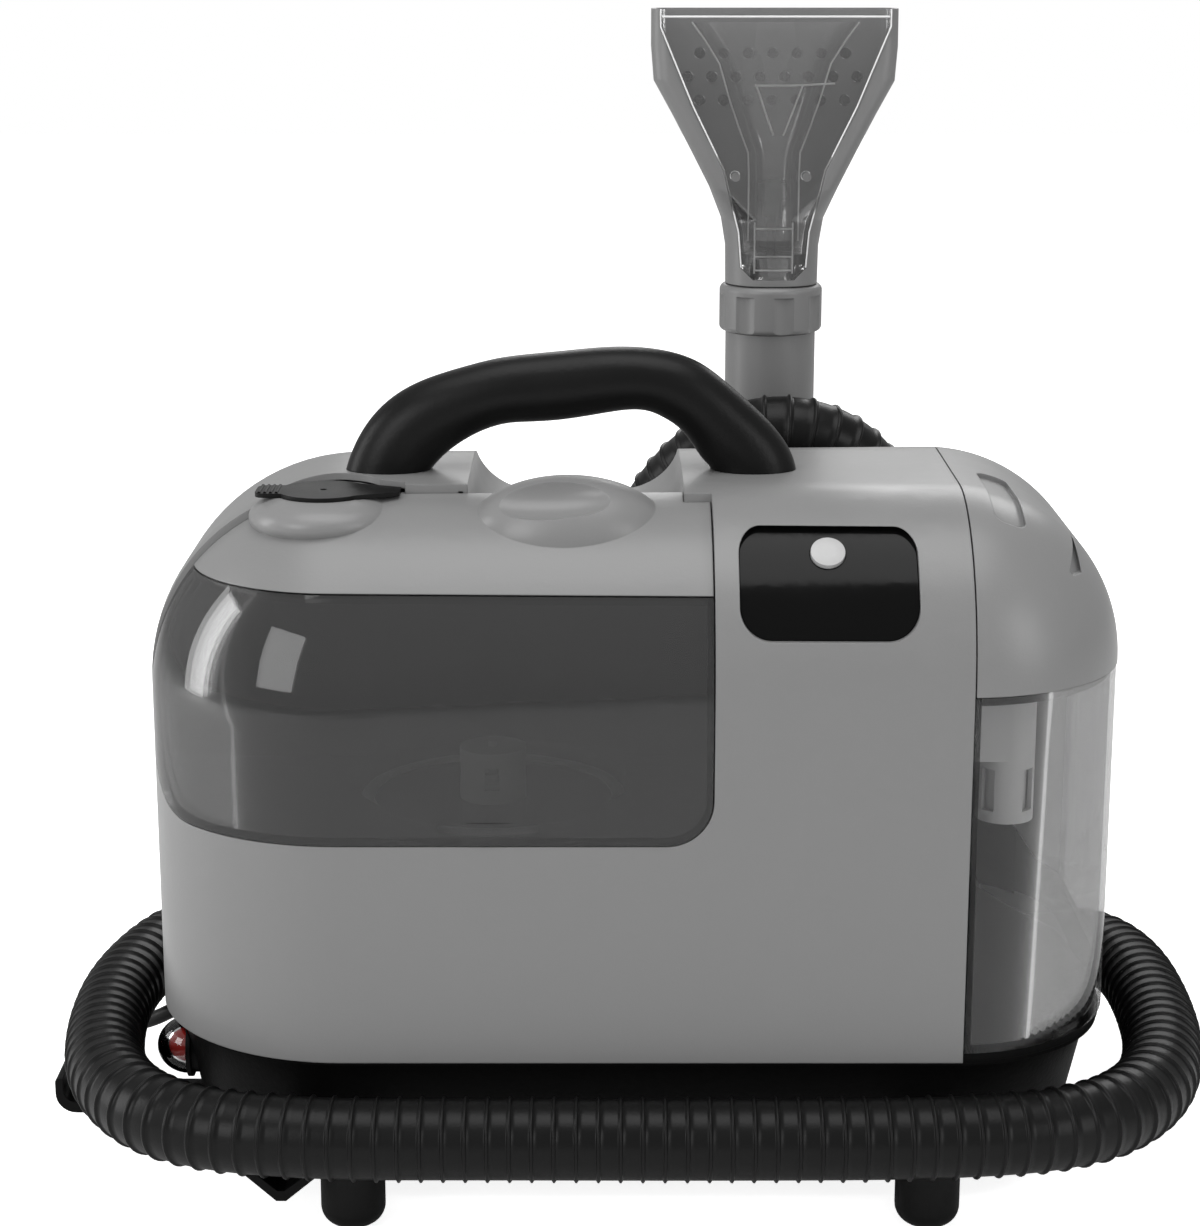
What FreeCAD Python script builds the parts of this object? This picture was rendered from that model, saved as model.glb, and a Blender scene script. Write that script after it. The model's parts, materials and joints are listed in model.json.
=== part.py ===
import FreeCAD, Part
import math
import os

# A portable spot extractor: a domed body on a black base tray, with a clean water tank and its lid on the
# left, a recovery tank on the right, a carrying handle on top, a suction hose wrapped round the base, and
# the hand wand with its clear nozzle clipped upright behind the body.
# Millimetres. X to the right, Y to the rear, Z up. The origin is on the floor, under the middle of the body.

V = FreeCAD.Vector
os.makedirs("parts", exist_ok=True)

# ---- Driving dimensions: the body ----
body_left = 206.0
body_right = 203.2
body_depth = 220.0
body_top = 301.0
shell_bottom = 72.0
left_radius = 85.0
right_radius = 71.5
shell_wall = 3.0
seam_gap = 0.6
dish_depth = 2.0
touch_gap = 0.3

# ---- Clean tank and its lid ----
tank_split_y = -38.0
tank_right_x = 31.0
tank_floor_z = 166.0
tank_corner = 19.0
tank_side_x = -168.0
tank_side_round = 45.0
tank_wall = 2.6
tank_rear_y = 12.0
tank_rear_top = 258.0
lid_seam_z = 266.0
lid_drop = 3.5
shelf_thick = 3.0
plug_x = -130.0
plug_y = -40.0
plug_radius = 19.0
plug_thick = 1.8
plug_strap_end = 32.0
neck_bore = 14.5
valve_x = -60.0
valve_y = -51.0
valve_ring_radius = 60.0
valve_bore = 7.0
valve_travel = 3.0

# ---- Column, control panel and button ----
column_right_x = 135.0
panel_left = 41.0
panel_right = 113.0
panel_low_z = 250.0
panel_high_z = 290.5
panel_corner = 9.0
panel_sink = 2.2
panel_thick = 2.5
button_x = 77.0
button_angle = 49.0
button_radius = 7.0
button_travel = 2.0

# ---- Finger notch with the release bar, behind the lid ----
notch_left = -70.0
notch_right = 20.0
notch_floor_z = 272.0
notch_corner = 26.0
notch_rear_y = 96.0
bar_travel = 3.0

# ---- Recovery tank ----
recovery_floor_z = 76.0
cap_seam_z = 228.0
recovery_inset = 0.4
wing_right_x = 177.0
wing_front_y = 60.0
deck_inset = 1.5
recovery_wall = 2.5
float_radius = 9.0
float_height = 22.0

# ---- Base tray, feet and hose rest ----
tray_bottom = 26.0
tray_top_inset = 6.0
tray_bottom_inset = 16.0
tray_wall = 2.5
foot_radius = 13.5
foot_left_x = -118.0
foot_right_x = 122.0
foot_front_y = -107.0
foot_rear_y = 95.0
vent_count = 7
vent_pitch = 8.0
vent_first_x = -84.0

# ---- Rocker switch ----
switch_y = -38.0
switch_z = 50.0
switch_ring_radius = 14.0
rocker_radius = 8.0

# ---- Handle ----
handle_y = -6.0
handle_thick = 27.0

# ---- Wand, clip and nozzle ----
wand_x = 67.0
wand_y = 152.0
wand_radius = 21.5
wand_lower_radius = 19.5
wand_wall = 2.5
cuff_low_z = 92.0
wand_low_z = 121.0
wand_step_z = 196.0
collar_low_z = 338.0
collar_high_z = 361.0
collar_radius = 24.5
spigot_top_z = 374.0
spigot_radius = 17.0
nozzle_top_z = 489.0
nozzle_split_y = 155.0
nozzle_wall = 2.2
trigger_low_z = 236.0
trigger_high_z = 311.0
trigger_width = 20.0
clip_low_z = 196.0
clip_high_z = 262.0

# ---- Hose, its coupling, and the power cord ----
hose_diameter = 35.0
hose_level = 48.0
socket_level = 36.0
socket_y = 125.0
socket_left = 15.0
socket_right = 110.0
cord_diameter = 7.0
cord_level = 4.0
cord_plane_y = 114.8
coil_left = -145.0
coil_right = -67.0
coil_low = 88.0
coil_high = 268.0
coil_front_y = 113.0
coil_back_y = 129.0
duct_inner = 10.5
duct_outer = 12.5

# ---- Vacuum unit ----
motor_x = 80.0
motor_y = 2.0
motor_radius = 38.0
motor_low_z = 62.0
blower_radius = 43.0
blower_low_z = 152.0
blower_high_z = 188.0
mount_thick = 7.0
shaft_radius = 4.0
shaft_play = 0.05
air_hose_radius = 11.0
pump_x = -60.0
pump_y = 60.0
pump_low_z = 60.0
pump_high_z = 104.0

half_depth = body_depth / 2
left_axis_x = left_radius - body_left
right_axis_x = body_right - right_radius
half_gap = seam_gap / 2


# ---- Shape helpers ----
def box(x0, x1, y0, y1, z0, z1):
    """A block between six limits."""
    return Part.makeBox(x1 - x0, y1 - y0, z1 - z0, V(x0, y0, z0))


def rod(radius, start, end):
    """A round bar from one point to another."""
    along = end - start
    return Part.makeCylinder(radius, along.Length, start, along)


def pipe(outer, inner, start, end):
    """A round tube from one point to another, open at both ends."""
    along = end - start
    step = V(along)
    step.normalize()
    bore = rod(inner, start - step, end + step)
    return rod(outer, start, end).cut(bore)


def slab(outline, plane, low, high):
    """Extrude a closed wire, drawn in plane 'xy', 'xz' or 'yz' at zero, between two levels of the third axis."""
    face = Part.Face(outline)
    direction = {"xy": V(0, 0, 1), "xz": V(0, 1, 0), "yz": V(1, 0, 0)}[plane]
    face.translate(direction * low)
    return face.extrude(direction * (high - low))


def place(plane, a, b):
    """The point (a, b) of a drawing plane."""
    return {"xy": V(a, b, 0), "xz": V(a, 0, b), "yz": V(0, a, b)}[plane]


def rounded(plane, a0, a1, b0, b1, radii):
    """A rectangle with a radius for each corner: low-low, high-low, high-high, low-high; 0 is a sharp corner."""
    corners = [(a0, b0), (a1, b0), (a1, b1), (a0, b1)]
    inward = [(1, 1), (-1, 1), (-1, -1), (1, -1)]
    edges = []
    points = []
    for (a, b), (sa, sb), radius, turn in zip(corners, inward, radii, range(4)):
        first = (a, b + sb * radius)
        last = (a + sa * radius, b)
        if turn % 2:
            first, last = last, first
        bow = radius * (1 - math.sqrt(0.5))
        middle = (a + sa * bow, b + sb * bow)
        points.append((place(plane, *first), place(plane, *middle), place(plane, *last), radius))
    for index, (first, middle, last, radius) in enumerate(points):
        if radius > 0:
            edges.append(Part.Arc(first, middle, last).toShape())
        following = points[(index + 1) % 4][0]
        if (following - last).Length > 1e-6:
            edges.append(Part.LineSegment(last, following).toShape())
    return Part.Wire(edges)


def polygon(plane, corners):
    """A closed outline of straight edges."""
    points = [place(plane, a, b) for a, b in corners]
    return Part.makePolygon(points + points[:1])


def save(name, shape):
    """Write one node, as one solid or as a group of separate solids."""
    solids = shape.Solids
    if not solids or not all(solid.isValid() for solid in solids):
        raise ValueError(name + " is not a sound solid")
    whole = solids[0] if len(solids) == 1 else Part.makeCompound(solids)
    whole.exportStep("parts/" + name + ".step")
    print(name, len(solids), round(sum(solid.Volume for solid in solids)))


def dome_section(x, radius, inset, low, top):
    """The body's cross-section at x: upright sides, a flat top and a large round shoulder front and rear."""
    side = half_depth - inset
    curve = radius - inset
    flat = side - curve
    crown = top - inset
    bow = curve * math.sqrt(0.5)
    corner = [V(x, -side, low), V(x, side, low), V(x, side, crown - curve)]
    rear = V(x, flat + bow, crown - curve + bow)
    front = V(x, -flat - bow, crown - curve + bow)
    edges = [
        Part.LineSegment(corner[0], corner[1]).toShape(),
        Part.LineSegment(corner[1], corner[2]).toShape(),
        Part.Arc(corner[2], rear, V(x, flat, crown)).toShape(),
        Part.LineSegment(V(x, flat, crown), V(x, -flat, crown)).toShape(),
        Part.Arc(V(x, -flat, crown), front, V(x, -side, crown - curve)).toShape(),
        Part.LineSegment(V(x, -side, crown - curve), corner[0]).toShape(),
    ]
    return Part.Wire(edges)


def dome_end(axis_x, sign, radius, inset, low, top):
    """One rounded end of the body: a flat stretch between two quarter turns of the shoulder profile."""
    curve = radius - inset
    flat = half_depth - radius
    crown = top - inset
    bow = curve * math.sqrt(0.5)
    outer = axis_x + sign * curve
    edges = [
        Part.LineSegment(V(axis_x, 0, low), V(outer, 0, low)).toShape(),
        Part.LineSegment(V(outer, 0, low), V(outer, 0, crown - curve)).toShape(),
        Part.Arc(V(outer, 0, crown - curve), V(axis_x + sign * bow, 0, crown - curve + bow),
                 V(axis_x, 0, crown)).toShape(),
        Part.LineSegment(V(axis_x, 0, crown), V(axis_x, 0, low)).toShape(),
    ]
    profile = Part.Face(Part.Wire(edges))
    pieces = []
    for side in (-1, 1):
        start = profile.copy()
        start.translate(V(0, side * flat, 0))
        pieces.append(start.revolve(V(axis_x, side * flat, 0), V(0, 0, 1), 90.0 * side * sign))
    profile.translate(V(0, -flat, 0))
    pieces.append(profile.extrude(V(0, 2 * flat, 0)))
    return pieces


def dome(inset=0.0, low=shell_bottom, top=body_top):
    """The body's outer form, moved inwards by inset, from the level low up to the crown."""
    middle = Part.makeLoft([
        dome_section(left_axis_x, left_radius, inset, low, top),
        dome_section(right_axis_x, right_radius, inset, low, top),
    ], True, True)
    pieces = [middle]
    pieces += dome_end(left_axis_x, -1, left_radius, inset, low, top)
    pieces += dome_end(right_axis_x, 1, right_radius, inset, low, top)
    return pieces[0].fuse(pieces[1:]).removeSplitter()


def plan_wire(inset, level):
    """The body's outline seen from above, moved inwards, at one level."""
    corners = [
        (left_axis_x, -1, -1, left_radius),
        (right_axis_x, 1, -1, right_radius),
        (right_axis_x, 1, 1, right_radius),
        (left_axis_x, -1, 1, left_radius),
    ]
    arcs = []
    for index, (axis_x, sign_x, sign_y, radius) in enumerate(corners):
        curve = radius - inset
        centre = V(axis_x, sign_y * (half_depth - radius), level)
        bow = curve * math.sqrt(0.5)
        ends = [centre + V(sign_x * curve, 0, 0), centre + V(0, sign_y * curve, 0)]
        if index % 2:
            ends.reverse()
        arcs.append((ends[0], centre + V(sign_x * bow, sign_y * bow, 0), ends[1]))
    edges = []
    for index, (start, middle, end) in enumerate(arcs):
        edges.append(Part.Arc(start, middle, end).toShape())
        edges.append(Part.LineSegment(end, arcs[(index + 1) % 4][0]).toShape())
    return Part.Wire(edges)


def plan_slab(inset, low, high):
    """A flat plate with the body's outline."""
    return Part.Face(plan_wire(inset, low)).extrude(V(0, 0, high - low))


def shoulder(x):
    """Centre and radius of the front shoulder at x: (y, z, radius)."""
    share = (x - left_axis_x) / (right_axis_x - left_axis_x)
    radius = left_radius + (right_radius - left_radius) * share
    return radius - half_depth, body_top - radius, radius


def ellipsoid(centre, rx, ry, rz):
    """A stretched ball."""
    ball = Part.makeSphere(1.0)
    matrix = FreeCAD.Matrix()
    matrix.scale(rx, ry, rz)
    matrix.move(centre)
    return ball.transformGeometry(matrix)


def route_wire(points):
    """Join the points by straight runs and tangent arcs; give the wire and the arcs' radii."""
    edges = []
    radii = []
    start = points[0]
    for before, corner, after in zip(points, points[1:], points[2:]):
        run_in = corner - before
        run_out = after - corner
        shorter = min(run_in.Length, run_out.Length)
        turn = run_in.getAngle(run_out)
        reach = 0.45 * shorter
        radius = reach / math.tan(turn / 2)
        towards = V(run_in).normalize()
        away = V(run_out).normalize()
        arc_start = corner - towards * reach
        arc_end = corner + away * reach
        inward = (away - towards).normalize()
        middle = corner + inward * (radius / math.cos(turn / 2) - radius)
        edges.append(Part.LineSegment(start, arc_start).toShape())
        edges.append(Part.Arc(arc_start, middle, arc_end).toShape())
        start = arc_end
        radii.append(round(radius))
    edges.append(Part.LineSegment(start, points[-1]).toShape())
    return Part.Wire(edges), radii


def tube_along(points, diameter):
    """A plain round tube along a route, with its wire and the radii of its arcs."""
    wire, radii = route_wire(points)
    section = Part.Wire(Part.makeCircle(diameter / 2, points[0], points[1] - points[0]))
    return wire.makePipeShell([section], True, False), wire, radii


def cord_tube(name, points, diameter):
    """A cord's tube; its radii, its length, and its volume against section times length are printed."""
    tube_shape, wire, radii = tube_along(points, diameter)
    share = tube_shape.Volume / (math.pi * diameter ** 2 / 4 * wire.Length)
    print(name, "radii", radii, "length", round(wire.Length), "volume ratio", round(share, 4))
    return tube_shape


def coil_spring(radius, wire, low, high, x, y, turns=4):
    """A compression spring along Z: eight points a turn, joined by runs and arcs."""
    steps = turns * 8
    corner = radius / math.cos(math.pi / 8)
    rise = (high - low - wire) / steps
    points = []
    for step in range(steps + 1):
        turn = math.pi / 4 * step
        points.append(V(x + corner * math.cos(turn), y + corner * math.sin(turn), low + wire / 2 + rise * step))
    return tube_along(points, wire)[0]


# ---- Regions that the tanks, lid and column share ----
lid_top = body_top - lid_drop
far = 400.0


def tank_region(gap, low=tank_floor_z, high=far, rear=tank_split_y, corner=tank_corner):
    """The space left of the column and in front of the rear shell, drawn back by gap, with the rounded low corner."""
    outline = rounded("xz", -far, tank_right_x - gap, low + gap, high, (0, max(corner - gap, 0), 0, 0))
    return slab(outline, "xz", -far, rear - gap)


def side_round(gap):
    """What the large rounding takes off the tank's rear low corner at the left end."""
    middle_y = tank_split_y - tank_side_round
    middle_z = tank_floor_z + tank_side_round
    block = box(-far, tank_side_x + gap, middle_y, far, 0, middle_z)
    return block.cut(rod(tank_side_round - gap, V(-far, middle_y, middle_z), V(far, middle_y, middle_z)))


plug_lobe_radius = plug_radius + 6.0
plug_seat_z = lid_top - 0.6
tab_left_x = notch_right
tab_front_y = -50.0
tab_low_z = 291.0


def lobe(gap, low, high):
    """The round stretch of lid that reaches back round the fill plug."""
    return Part.makeCylinder(plug_lobe_radius - gap, high - low, V(plug_x, plug_y, low))


def corner_tab(gap):
    """The shell's raised corner beside the notch, over the lid's right rear corner."""
    return box(tab_left_x - gap, tank_right_x + 2, tab_front_y - gap, tank_split_y + 2, tab_low_z - gap, far)


def plug_outline(grow, tail):
    """The plug's head, pull tab and tapered strap, seen from above."""
    head = Part.makeCylinder(plug_radius + grow, 1, V(plug_x, plug_y, 0))
    strap = slab(polygon("xy", [
        (plug_x, plug_y - plug_radius - grow),
        (plug_x + tail + grow, plug_y - 5 - grow),
        (plug_x + tail + grow, plug_y + 5 + grow),
        (plug_x, plug_y + plug_radius + grow),
    ]), "xy", 0, 1)
    pull = slab(rounded("xy", plug_x - plug_radius - 9 - grow, plug_x, plug_y - 9 - grow, plug_y + 9 + grow,
                        (4, 0, 0, 4)), "xy", 0, 1)
    return head.fuse([strap, pull]).removeSplitter()


def lift(shape, low, height):
    """Stretch a one-millimetre plate to a height and lift it to a level."""
    matrix = FreeCAD.Matrix()
    matrix.scale(1, 1, height)
    matrix.move(V(0, 0, low))
    return shape.transformGeometry(matrix)


outer_dome = dome(0)
inner_dome = dome(shell_wall, shell_bottom - 10)
web_dome = dome(shell_wall / 2)
low_dome = dome(0, shell_bottom, lid_top)

# ---- Main shell: one moulding with the column, the front panel, the rear wall and the inner walls ----
main_shell = outer_dome.cut(inner_dome)
right_edge = column_right_x - half_gap
shelf_low = tank_floor_z - shelf_thick
webs = [
    box(-far, tank_right_x + shell_wall, -far, tank_split_y + shell_wall, shelf_low, tank_floor_z),
    box(-far, tank_right_x + shell_wall, tank_split_y, tank_rear_y + 2 * shell_wall, shelf_low, tank_floor_z),
    box(-far, tank_right_x + shell_wall, tank_rear_y + 3, tank_rear_y + 6, shelf_low, tank_rear_top + 6),
    box(-far, tank_right_x + shell_wall, tank_split_y, tank_rear_y + 6, tank_rear_top + 3, tank_rear_top + 6),
    box(-far, notch_left - 4, tank_split_y, tank_split_y + 3, tank_rear_top + 3, far).cut(lobe(0, 200, far)),
    box(tank_right_x, tank_right_x + shell_wall, -far, tank_rear_y + 6, shelf_low, far),
    box(right_edge - shell_wall, right_edge, -far, far, shell_bottom, far),
]
for web in webs:
    main_shell = main_shell.fuse(web.common(web_dome))
main_shell = main_shell.cut(tank_region(-half_gap).cut(side_round(-half_gap)))
main_shell = main_shell.cut(lobe(-half_gap, tank_rear_top + 3, far))
main_shell = main_shell.cut(box(right_edge, far, -far, far, 0, far))


def wing_region(gap):
    """The space of the rear wall that runs on behind the recovery tank, grown by gap."""
    skin = dome(-5, 0, body_top).cut(dome(shell_wall + gap, -10, body_top))
    return skin.common(box(right_edge - 1, wing_right_x + gap, wing_front_y - gap, far, 0, cap_seam_z - half_gap))


main_shell = main_shell.fuse(wing_region(0).common(outer_dome))

main_shell = main_shell.cut(lift(plug_outline(1.8, plug_strap_end), plug_seat_z - 0.4, 20))
tab = corner_tab(0).common(outer_dome)
main_shell = main_shell.fuse(tab)


def notch_outline(grow):
    """The U-shaped outline of the finger notch, seen from behind."""
    return rounded("xz", notch_left - grow, notch_right + grow, notch_floor_z - grow, far,
                   (notch_corner + grow, notch_corner + grow, 0, 0))


bay_wall = 2.0
lining = slab(notch_outline(bay_wall), "xz", tank_split_y + half_gap, far).common(web_dome)
main_shell = main_shell.fuse(lining)
main_shell = main_shell.cut(slab(notch_outline(0), "xz", tank_split_y - 1, far))

panel_hole = slab(rounded("xz", panel_left, panel_right, panel_low_z, panel_high_z, (panel_corner + 4,) * 2
                          + (panel_corner,) * 2), "xz", -far, -40)
main_shell = main_shell.cut(panel_hole)

# The intake port in the right-hand partition, for air from the recovery tank
port_y = -70.0
port_z = 205.0
port_radius = 15.0
duct_y = 66.0
main_shell = main_shell.cut(rod(port_radius + touch_gap, V(120, port_y, port_z), V(140, port_y, port_z)))
main_shell = main_shell.cut(rod(duct_outer + touch_gap, V(120, duct_y, port_z), V(140, duct_y, port_z)))

# The water passage under the tank's valve
main_shell = main_shell.cut(rod(valve_bore, V(valve_x, valve_y, shelf_low - 1), V(valve_x, valve_y, tank_floor_z + 1)))

# Two screw holes under each handle foot
handle_screw_x = (-105.0, 51.0)
handle_screw_radius = 2.2
for x in handle_screw_x:
    for y in (handle_y - 6, handle_y + 6):
        main_shell = main_shell.cut(rod(handle_screw_radius + touch_gap, V(x, y, 280), V(x, y, 310)))
save("main_shell", main_shell)

# ---- Release bar with its return spring, in the notch ----
bar_left = notch_left + 12
bar_right = notch_right - 12
bar_low = 284.0
bar_front = tank_split_y + 8
bar = box(bar_left, bar_right, bar_front, bar_front + 10, bar_low, bar_low + 5)
bar = bar.fuse(box(bar_left + 6, bar_right - 6, bar_front + 10, bar_front + 14, bar_low - 2, bar_low + 5))
stem_x = (notch_left + notch_right) / 2
stem_y = bar_front + 5
bay_floor_top = notch_floor_z
bar = bar.fuse(rod(2.5, V(stem_x, stem_y, bay_floor_top + bar_travel + 1), V(stem_x, stem_y, bar_low)))
save("release_bar", bar)
save("bar_spring", coil_spring(4.2, 1.0, bay_floor_top + 0.05, bar_low - 0.05, stem_x, stem_y))

# ---- Clean tank: a smoked shell with a floor, open under its lid ----
tank = tank_region(half_gap, high=lid_seam_z - half_gap).cut(side_round(half_gap)).common(low_dome)
rear_gap = 2.0
rear_block = dome(shell_wall + rear_gap, tank_floor_z + half_gap, lid_top)
rear_room = box(tank_side_x + half_gap, tank_right_x - half_gap, tank_split_y - 2, tank_rear_y, tank_floor_z + half_gap,
                tank_rear_top)
rear_region = tank_region(half_gap, rear=tank_rear_y + half_gap)
tank = tank.fuse(rear_block.common(rear_room).common(rear_region))
tank_inner = tank_region(half_gap + tank_wall, high=far).cut(side_round(half_gap + tank_wall))
tank_inner = tank_inner.common(dome(tank_wall, shell_bottom, lid_top))
inner_room = box(tank_side_x + half_gap + tank_wall, tank_right_x - half_gap - tank_wall, tank_split_y - 4, tank_rear_y - tank_wall,
                 tank_floor_z + half_gap + tank_wall, tank_rear_top - tank_wall)
inner_block = dome(shell_wall + rear_gap + tank_wall, shell_bottom, lid_top)
inner_region = tank_region(half_gap + tank_wall, rear=tank_rear_y)
tank_inner = tank_inner.fuse(inner_block.common(inner_room).common(inner_region))
tank = tank.cut(tank_inner)
floor_top = tank_floor_z + half_gap + tank_wall
tank = tank.cut(rod(valve_bore, V(valve_x, valve_y, tank_floor_z - 1), V(valve_x, valve_y, floor_top + 1)))
ring_height = 7.0
tank = tank.fuse(pipe(valve_ring_radius, valve_ring_radius - 2, V(valve_x, valve_y, floor_top - 1),
                      V(valve_x, valve_y, floor_top + ring_height)))
save("clean_tank", tank)

# ---- Outlet valve of the clean tank: seat ring, poppet and spring ----
valve_low = floor_top + 0.05
seat = pipe(valve_bore + 7, valve_bore + 0.3, V(valve_x, valve_y, valve_low), V(valve_x, valve_y, valve_low + 4))
cage = pipe(valve_bore + 7, valve_bore + 5, V(valve_x, valve_y, valve_low + 4), V(valve_x, valve_y, valve_low + 20))
cage = cage.cut(box(valve_x - 3, valve_x + 3, -far, far, valve_low + 6, valve_low + 16))
cage = cage.cut(box(-far, far, valve_y - 3, valve_y + 3, valve_low + 6, valve_low + 16))
roof = pipe(valve_bore + 7, 2.4, V(valve_x, valve_y, valve_low + 20), V(valve_x, valve_y, valve_low + 22))
save("valve_cage", seat.fuse([cage, roof]).removeSplitter())
poppet = rod(valve_bore + 3, V(valve_x, valve_y, valve_low + 4.3), V(valve_x, valve_y, valve_low + 7.5))
poppet = poppet.fuse(rod(2.0, V(valve_x, valve_y, valve_low - 1.5), V(valve_x, valve_y, valve_low + 24)))
save("valve_poppet", poppet)
save("valve_spring", coil_spring(5.0, 0.9, valve_low + 7.6, valve_low + 19.9, valve_x, valve_y))

# ---- Tank lid: the grey dome over the tank, with the finger hump and the filler neck ----
hump_x = -28.0
hump_reach = 42.0
hump_depth = 27.0
hump_height = 9.0
hump_sink = 15.0
lid_region = tank_region(half_gap, low=lid_seam_z, corner=0).fuse(lobe(half_gap, lid_seam_z + half_gap, far))
lid_region = lid_region.common(box(-far, tank_right_x - half_gap, -far, far, lid_seam_z + half_gap, far))
lid = low_dome.cut(dome(shell_wall, shell_bottom - 10, lid_top)).common(lid_region)
rear_lip = box(-far, tank_right_x - half_gap, tank_split_y - half_gap - 2.5, tank_split_y - half_gap, lid_seam_z
               + half_gap, far)
rear_lip = rear_lip.cut(lobe(shell_wall, 0, far)).common(dome(shell_wall / 2, shell_bottom, lid_top))
lid = lid.fuse(rear_lip)
hump = ellipsoid(V(hump_x, tank_split_y - 12, lid_top - hump_sink), hump_reach, hump_depth, hump_sink + hump_height)
hump = hump.common(box(-far, far, -far, tank_split_y - half_gap, 0, far))
hump = hump.cut(dome(shell_wall, shell_bottom - 10, lid_top))
lid = lid.fuse(hump)
thumb_dish = ellipsoid(V(hump_x - 11, tank_split_y - 32, lid_top + hump_height - 3), 33, 13, 11)
lid = lid.cut(thumb_dish.cut(dome(dish_depth, shell_bottom, lid_top)))
lid = lid.cut(corner_tab(half_gap))
seat_swell = ellipsoid(V(plug_x, plug_y, plug_seat_z - 9), plug_radius * 1.65, plug_radius * 1.65, 12)
seat_swell = seat_swell.common(lid_region).cut(dome(shell_wall, shell_bottom - 10, lid_top))
lid = lid.fuse(seat_swell)
neck_low = lid_seam_z + 8
neck_top = lid_top - shell_wall - 0.2
neck = Part.makeCylinder(neck_bore + 2.5, neck_top + 1 - neck_low, V(plug_x, plug_y, neck_low))
lid = lid.fuse(neck)
lid = lid.cut(rod(neck_bore, V(plug_x, plug_y, neck_low - 1), V(plug_x, plug_y, far)))
lid = lid.cut(lift(plug_outline(0.8, plug_strap_end), plug_seat_z, 20))
save("tank_lid", lid)

# ---- Lid seal: a rubber strip on the tank's rim, under the lid ----
seal_ring = tank_region(half_gap + tank_wall + 0.3, low=100, high=lid_seam_z + 2)
seal_ring = seal_ring.common(dome(tank_wall + 0.9, shell_bottom, lid_top))
seal_hole = tank_region(half_gap + tank_wall + 2.6, low=90, high=lid_seam_z + 3)
seal_hole = seal_hole.common(dome(tank_wall + 3.2, shell_bottom - 1, lid_top))
seal_ring = seal_ring.cut(seal_hole).common(box(-far, far, -far, far, lid_seam_z - 4, lid_seam_z + 0.1))
save("lid_seal", seal_ring)

# ---- Fill plug: black rubber, with a ribbed pull tab and a strap that it folds back on ----
plug_low = plug_seat_z + 0.1
plug = lift(plug_outline(0, plug_strap_end), plug_low, plug_thick)
stopper = pipe(neck_bore - 1.2, neck_bore - 3.6, V(plug_x, plug_y, plug_low - 4), V(plug_x, plug_y, plug_low + 0.5))
plug = plug.fuse(stopper)
for index in range(4):
    x = plug_x - plug_radius - 7 + index * 2.4
    rib = rod(0.7, V(x, plug_y - 8, plug_low + plug_thick), V(x, plug_y + 8, plug_low + plug_thick))
    plug = plug.fuse(rib)
plug = plug.cut(rod(1.4, V(plug_x, plug_y, plug_low + plug_thick - 0.8), V(plug_x, plug_y, far)))
save("fill_plug", plug)

# ---- Control panel: glossy black, curved like the shoulder, with a hole for the button ----
shoulder_y, shoulder_z, shoulder_radius = shoulder(button_x)
angle = math.radians(button_angle)
button_axis = V(0, -math.cos(angle), math.sin(angle))
shoulder_centre = V(button_x, shoulder_y, shoulder_z)
button_face = shoulder_centre + button_axis * (shoulder_radius - panel_sink)
panel = dome(panel_sink).cut(dome(panel_sink + panel_thick, shell_bottom - 5))
panel_edge = touch_gap
panel = panel.common(slab(rounded(
    "xz", panel_left + panel_edge, panel_right - panel_edge, panel_low_z + panel_edge, panel_high_z - panel_edge,
    (panel_corner + 4 - panel_edge,) * 2 + (panel_corner - panel_edge,) * 2), "xz", -far, -50))
panel = panel.cut(rod(button_radius + touch_gap, button_face - button_axis * 12, button_face + button_axis * 12))
save("control_panel", panel)

# ---- Push button with its spring and switch ----
button = rod(button_radius, button_face - button_axis * 6, button_face + button_axis * 2.2)
cap_ball = Part.makeSphere(30.0, button_face - button_axis * 27.6)
button = button.common(cap_ball)
button = button.fuse(rod(3, button_face - button_axis * 9, button_face - button_axis * 5.9))
button = button.fuse(rod(button_radius + 1.4, button_face - button_axis * 6, button_face - button_axis * 4.8))
save("push_button", button)
switch_face = button_face - button_axis * 12
switch_block = rod(6.5, switch_face - button_axis * 6, switch_face)
board = Part.makeBox(60, 34, 1.6, V(-30, -17, -1.6))
board.Placement = FreeCAD.Placement(switch_face - button_axis * 6,
                                    FreeCAD.Rotation(V(0, 0, 1), button_axis))
save("button_switch", switch_block.fuse(board))
spring = coil_spring(4.3, 0.8, 0.05, 5.9 - button_travel, 0, 0, turns=3)
spring.Placement = FreeCAD.Placement(switch_face, FreeCAD.Rotation(V(0, 0, 1), button_axis)).multiply(spring.Placement)
save("button_spring", spring)

# ---- Recovery tank: clear walls and floor, with the grey cap over it ----
tank_left_x = column_right_x + half_gap
recovery_low = recovery_floor_z
recovery = dome(recovery_inset, recovery_low, body_top)
recovery = recovery.common(box(tank_left_x, far, -far, far, recovery_low, cap_seam_z - half_gap))
hollow = dome(recovery_inset + recovery_wall, recovery_low + recovery_wall, body_top)
hollow = hollow.common(box(tank_left_x + recovery_wall, far, -far, far, recovery_low + recovery_wall, far))
hollow = hollow.cut(wing_region(seam_gap + recovery_wall))
recovery = recovery.cut(wing_region(seam_gap)).cut(hollow)
recovery = recovery.cut(rod(port_radius - 2, V(130, port_y, port_z), V(145, port_y, port_z)))
recovery = recovery.cut(rod(duct_inner, V(130, duct_y, port_z), V(145, duct_y, port_z)))
save("recovery_tank", recovery)

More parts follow.
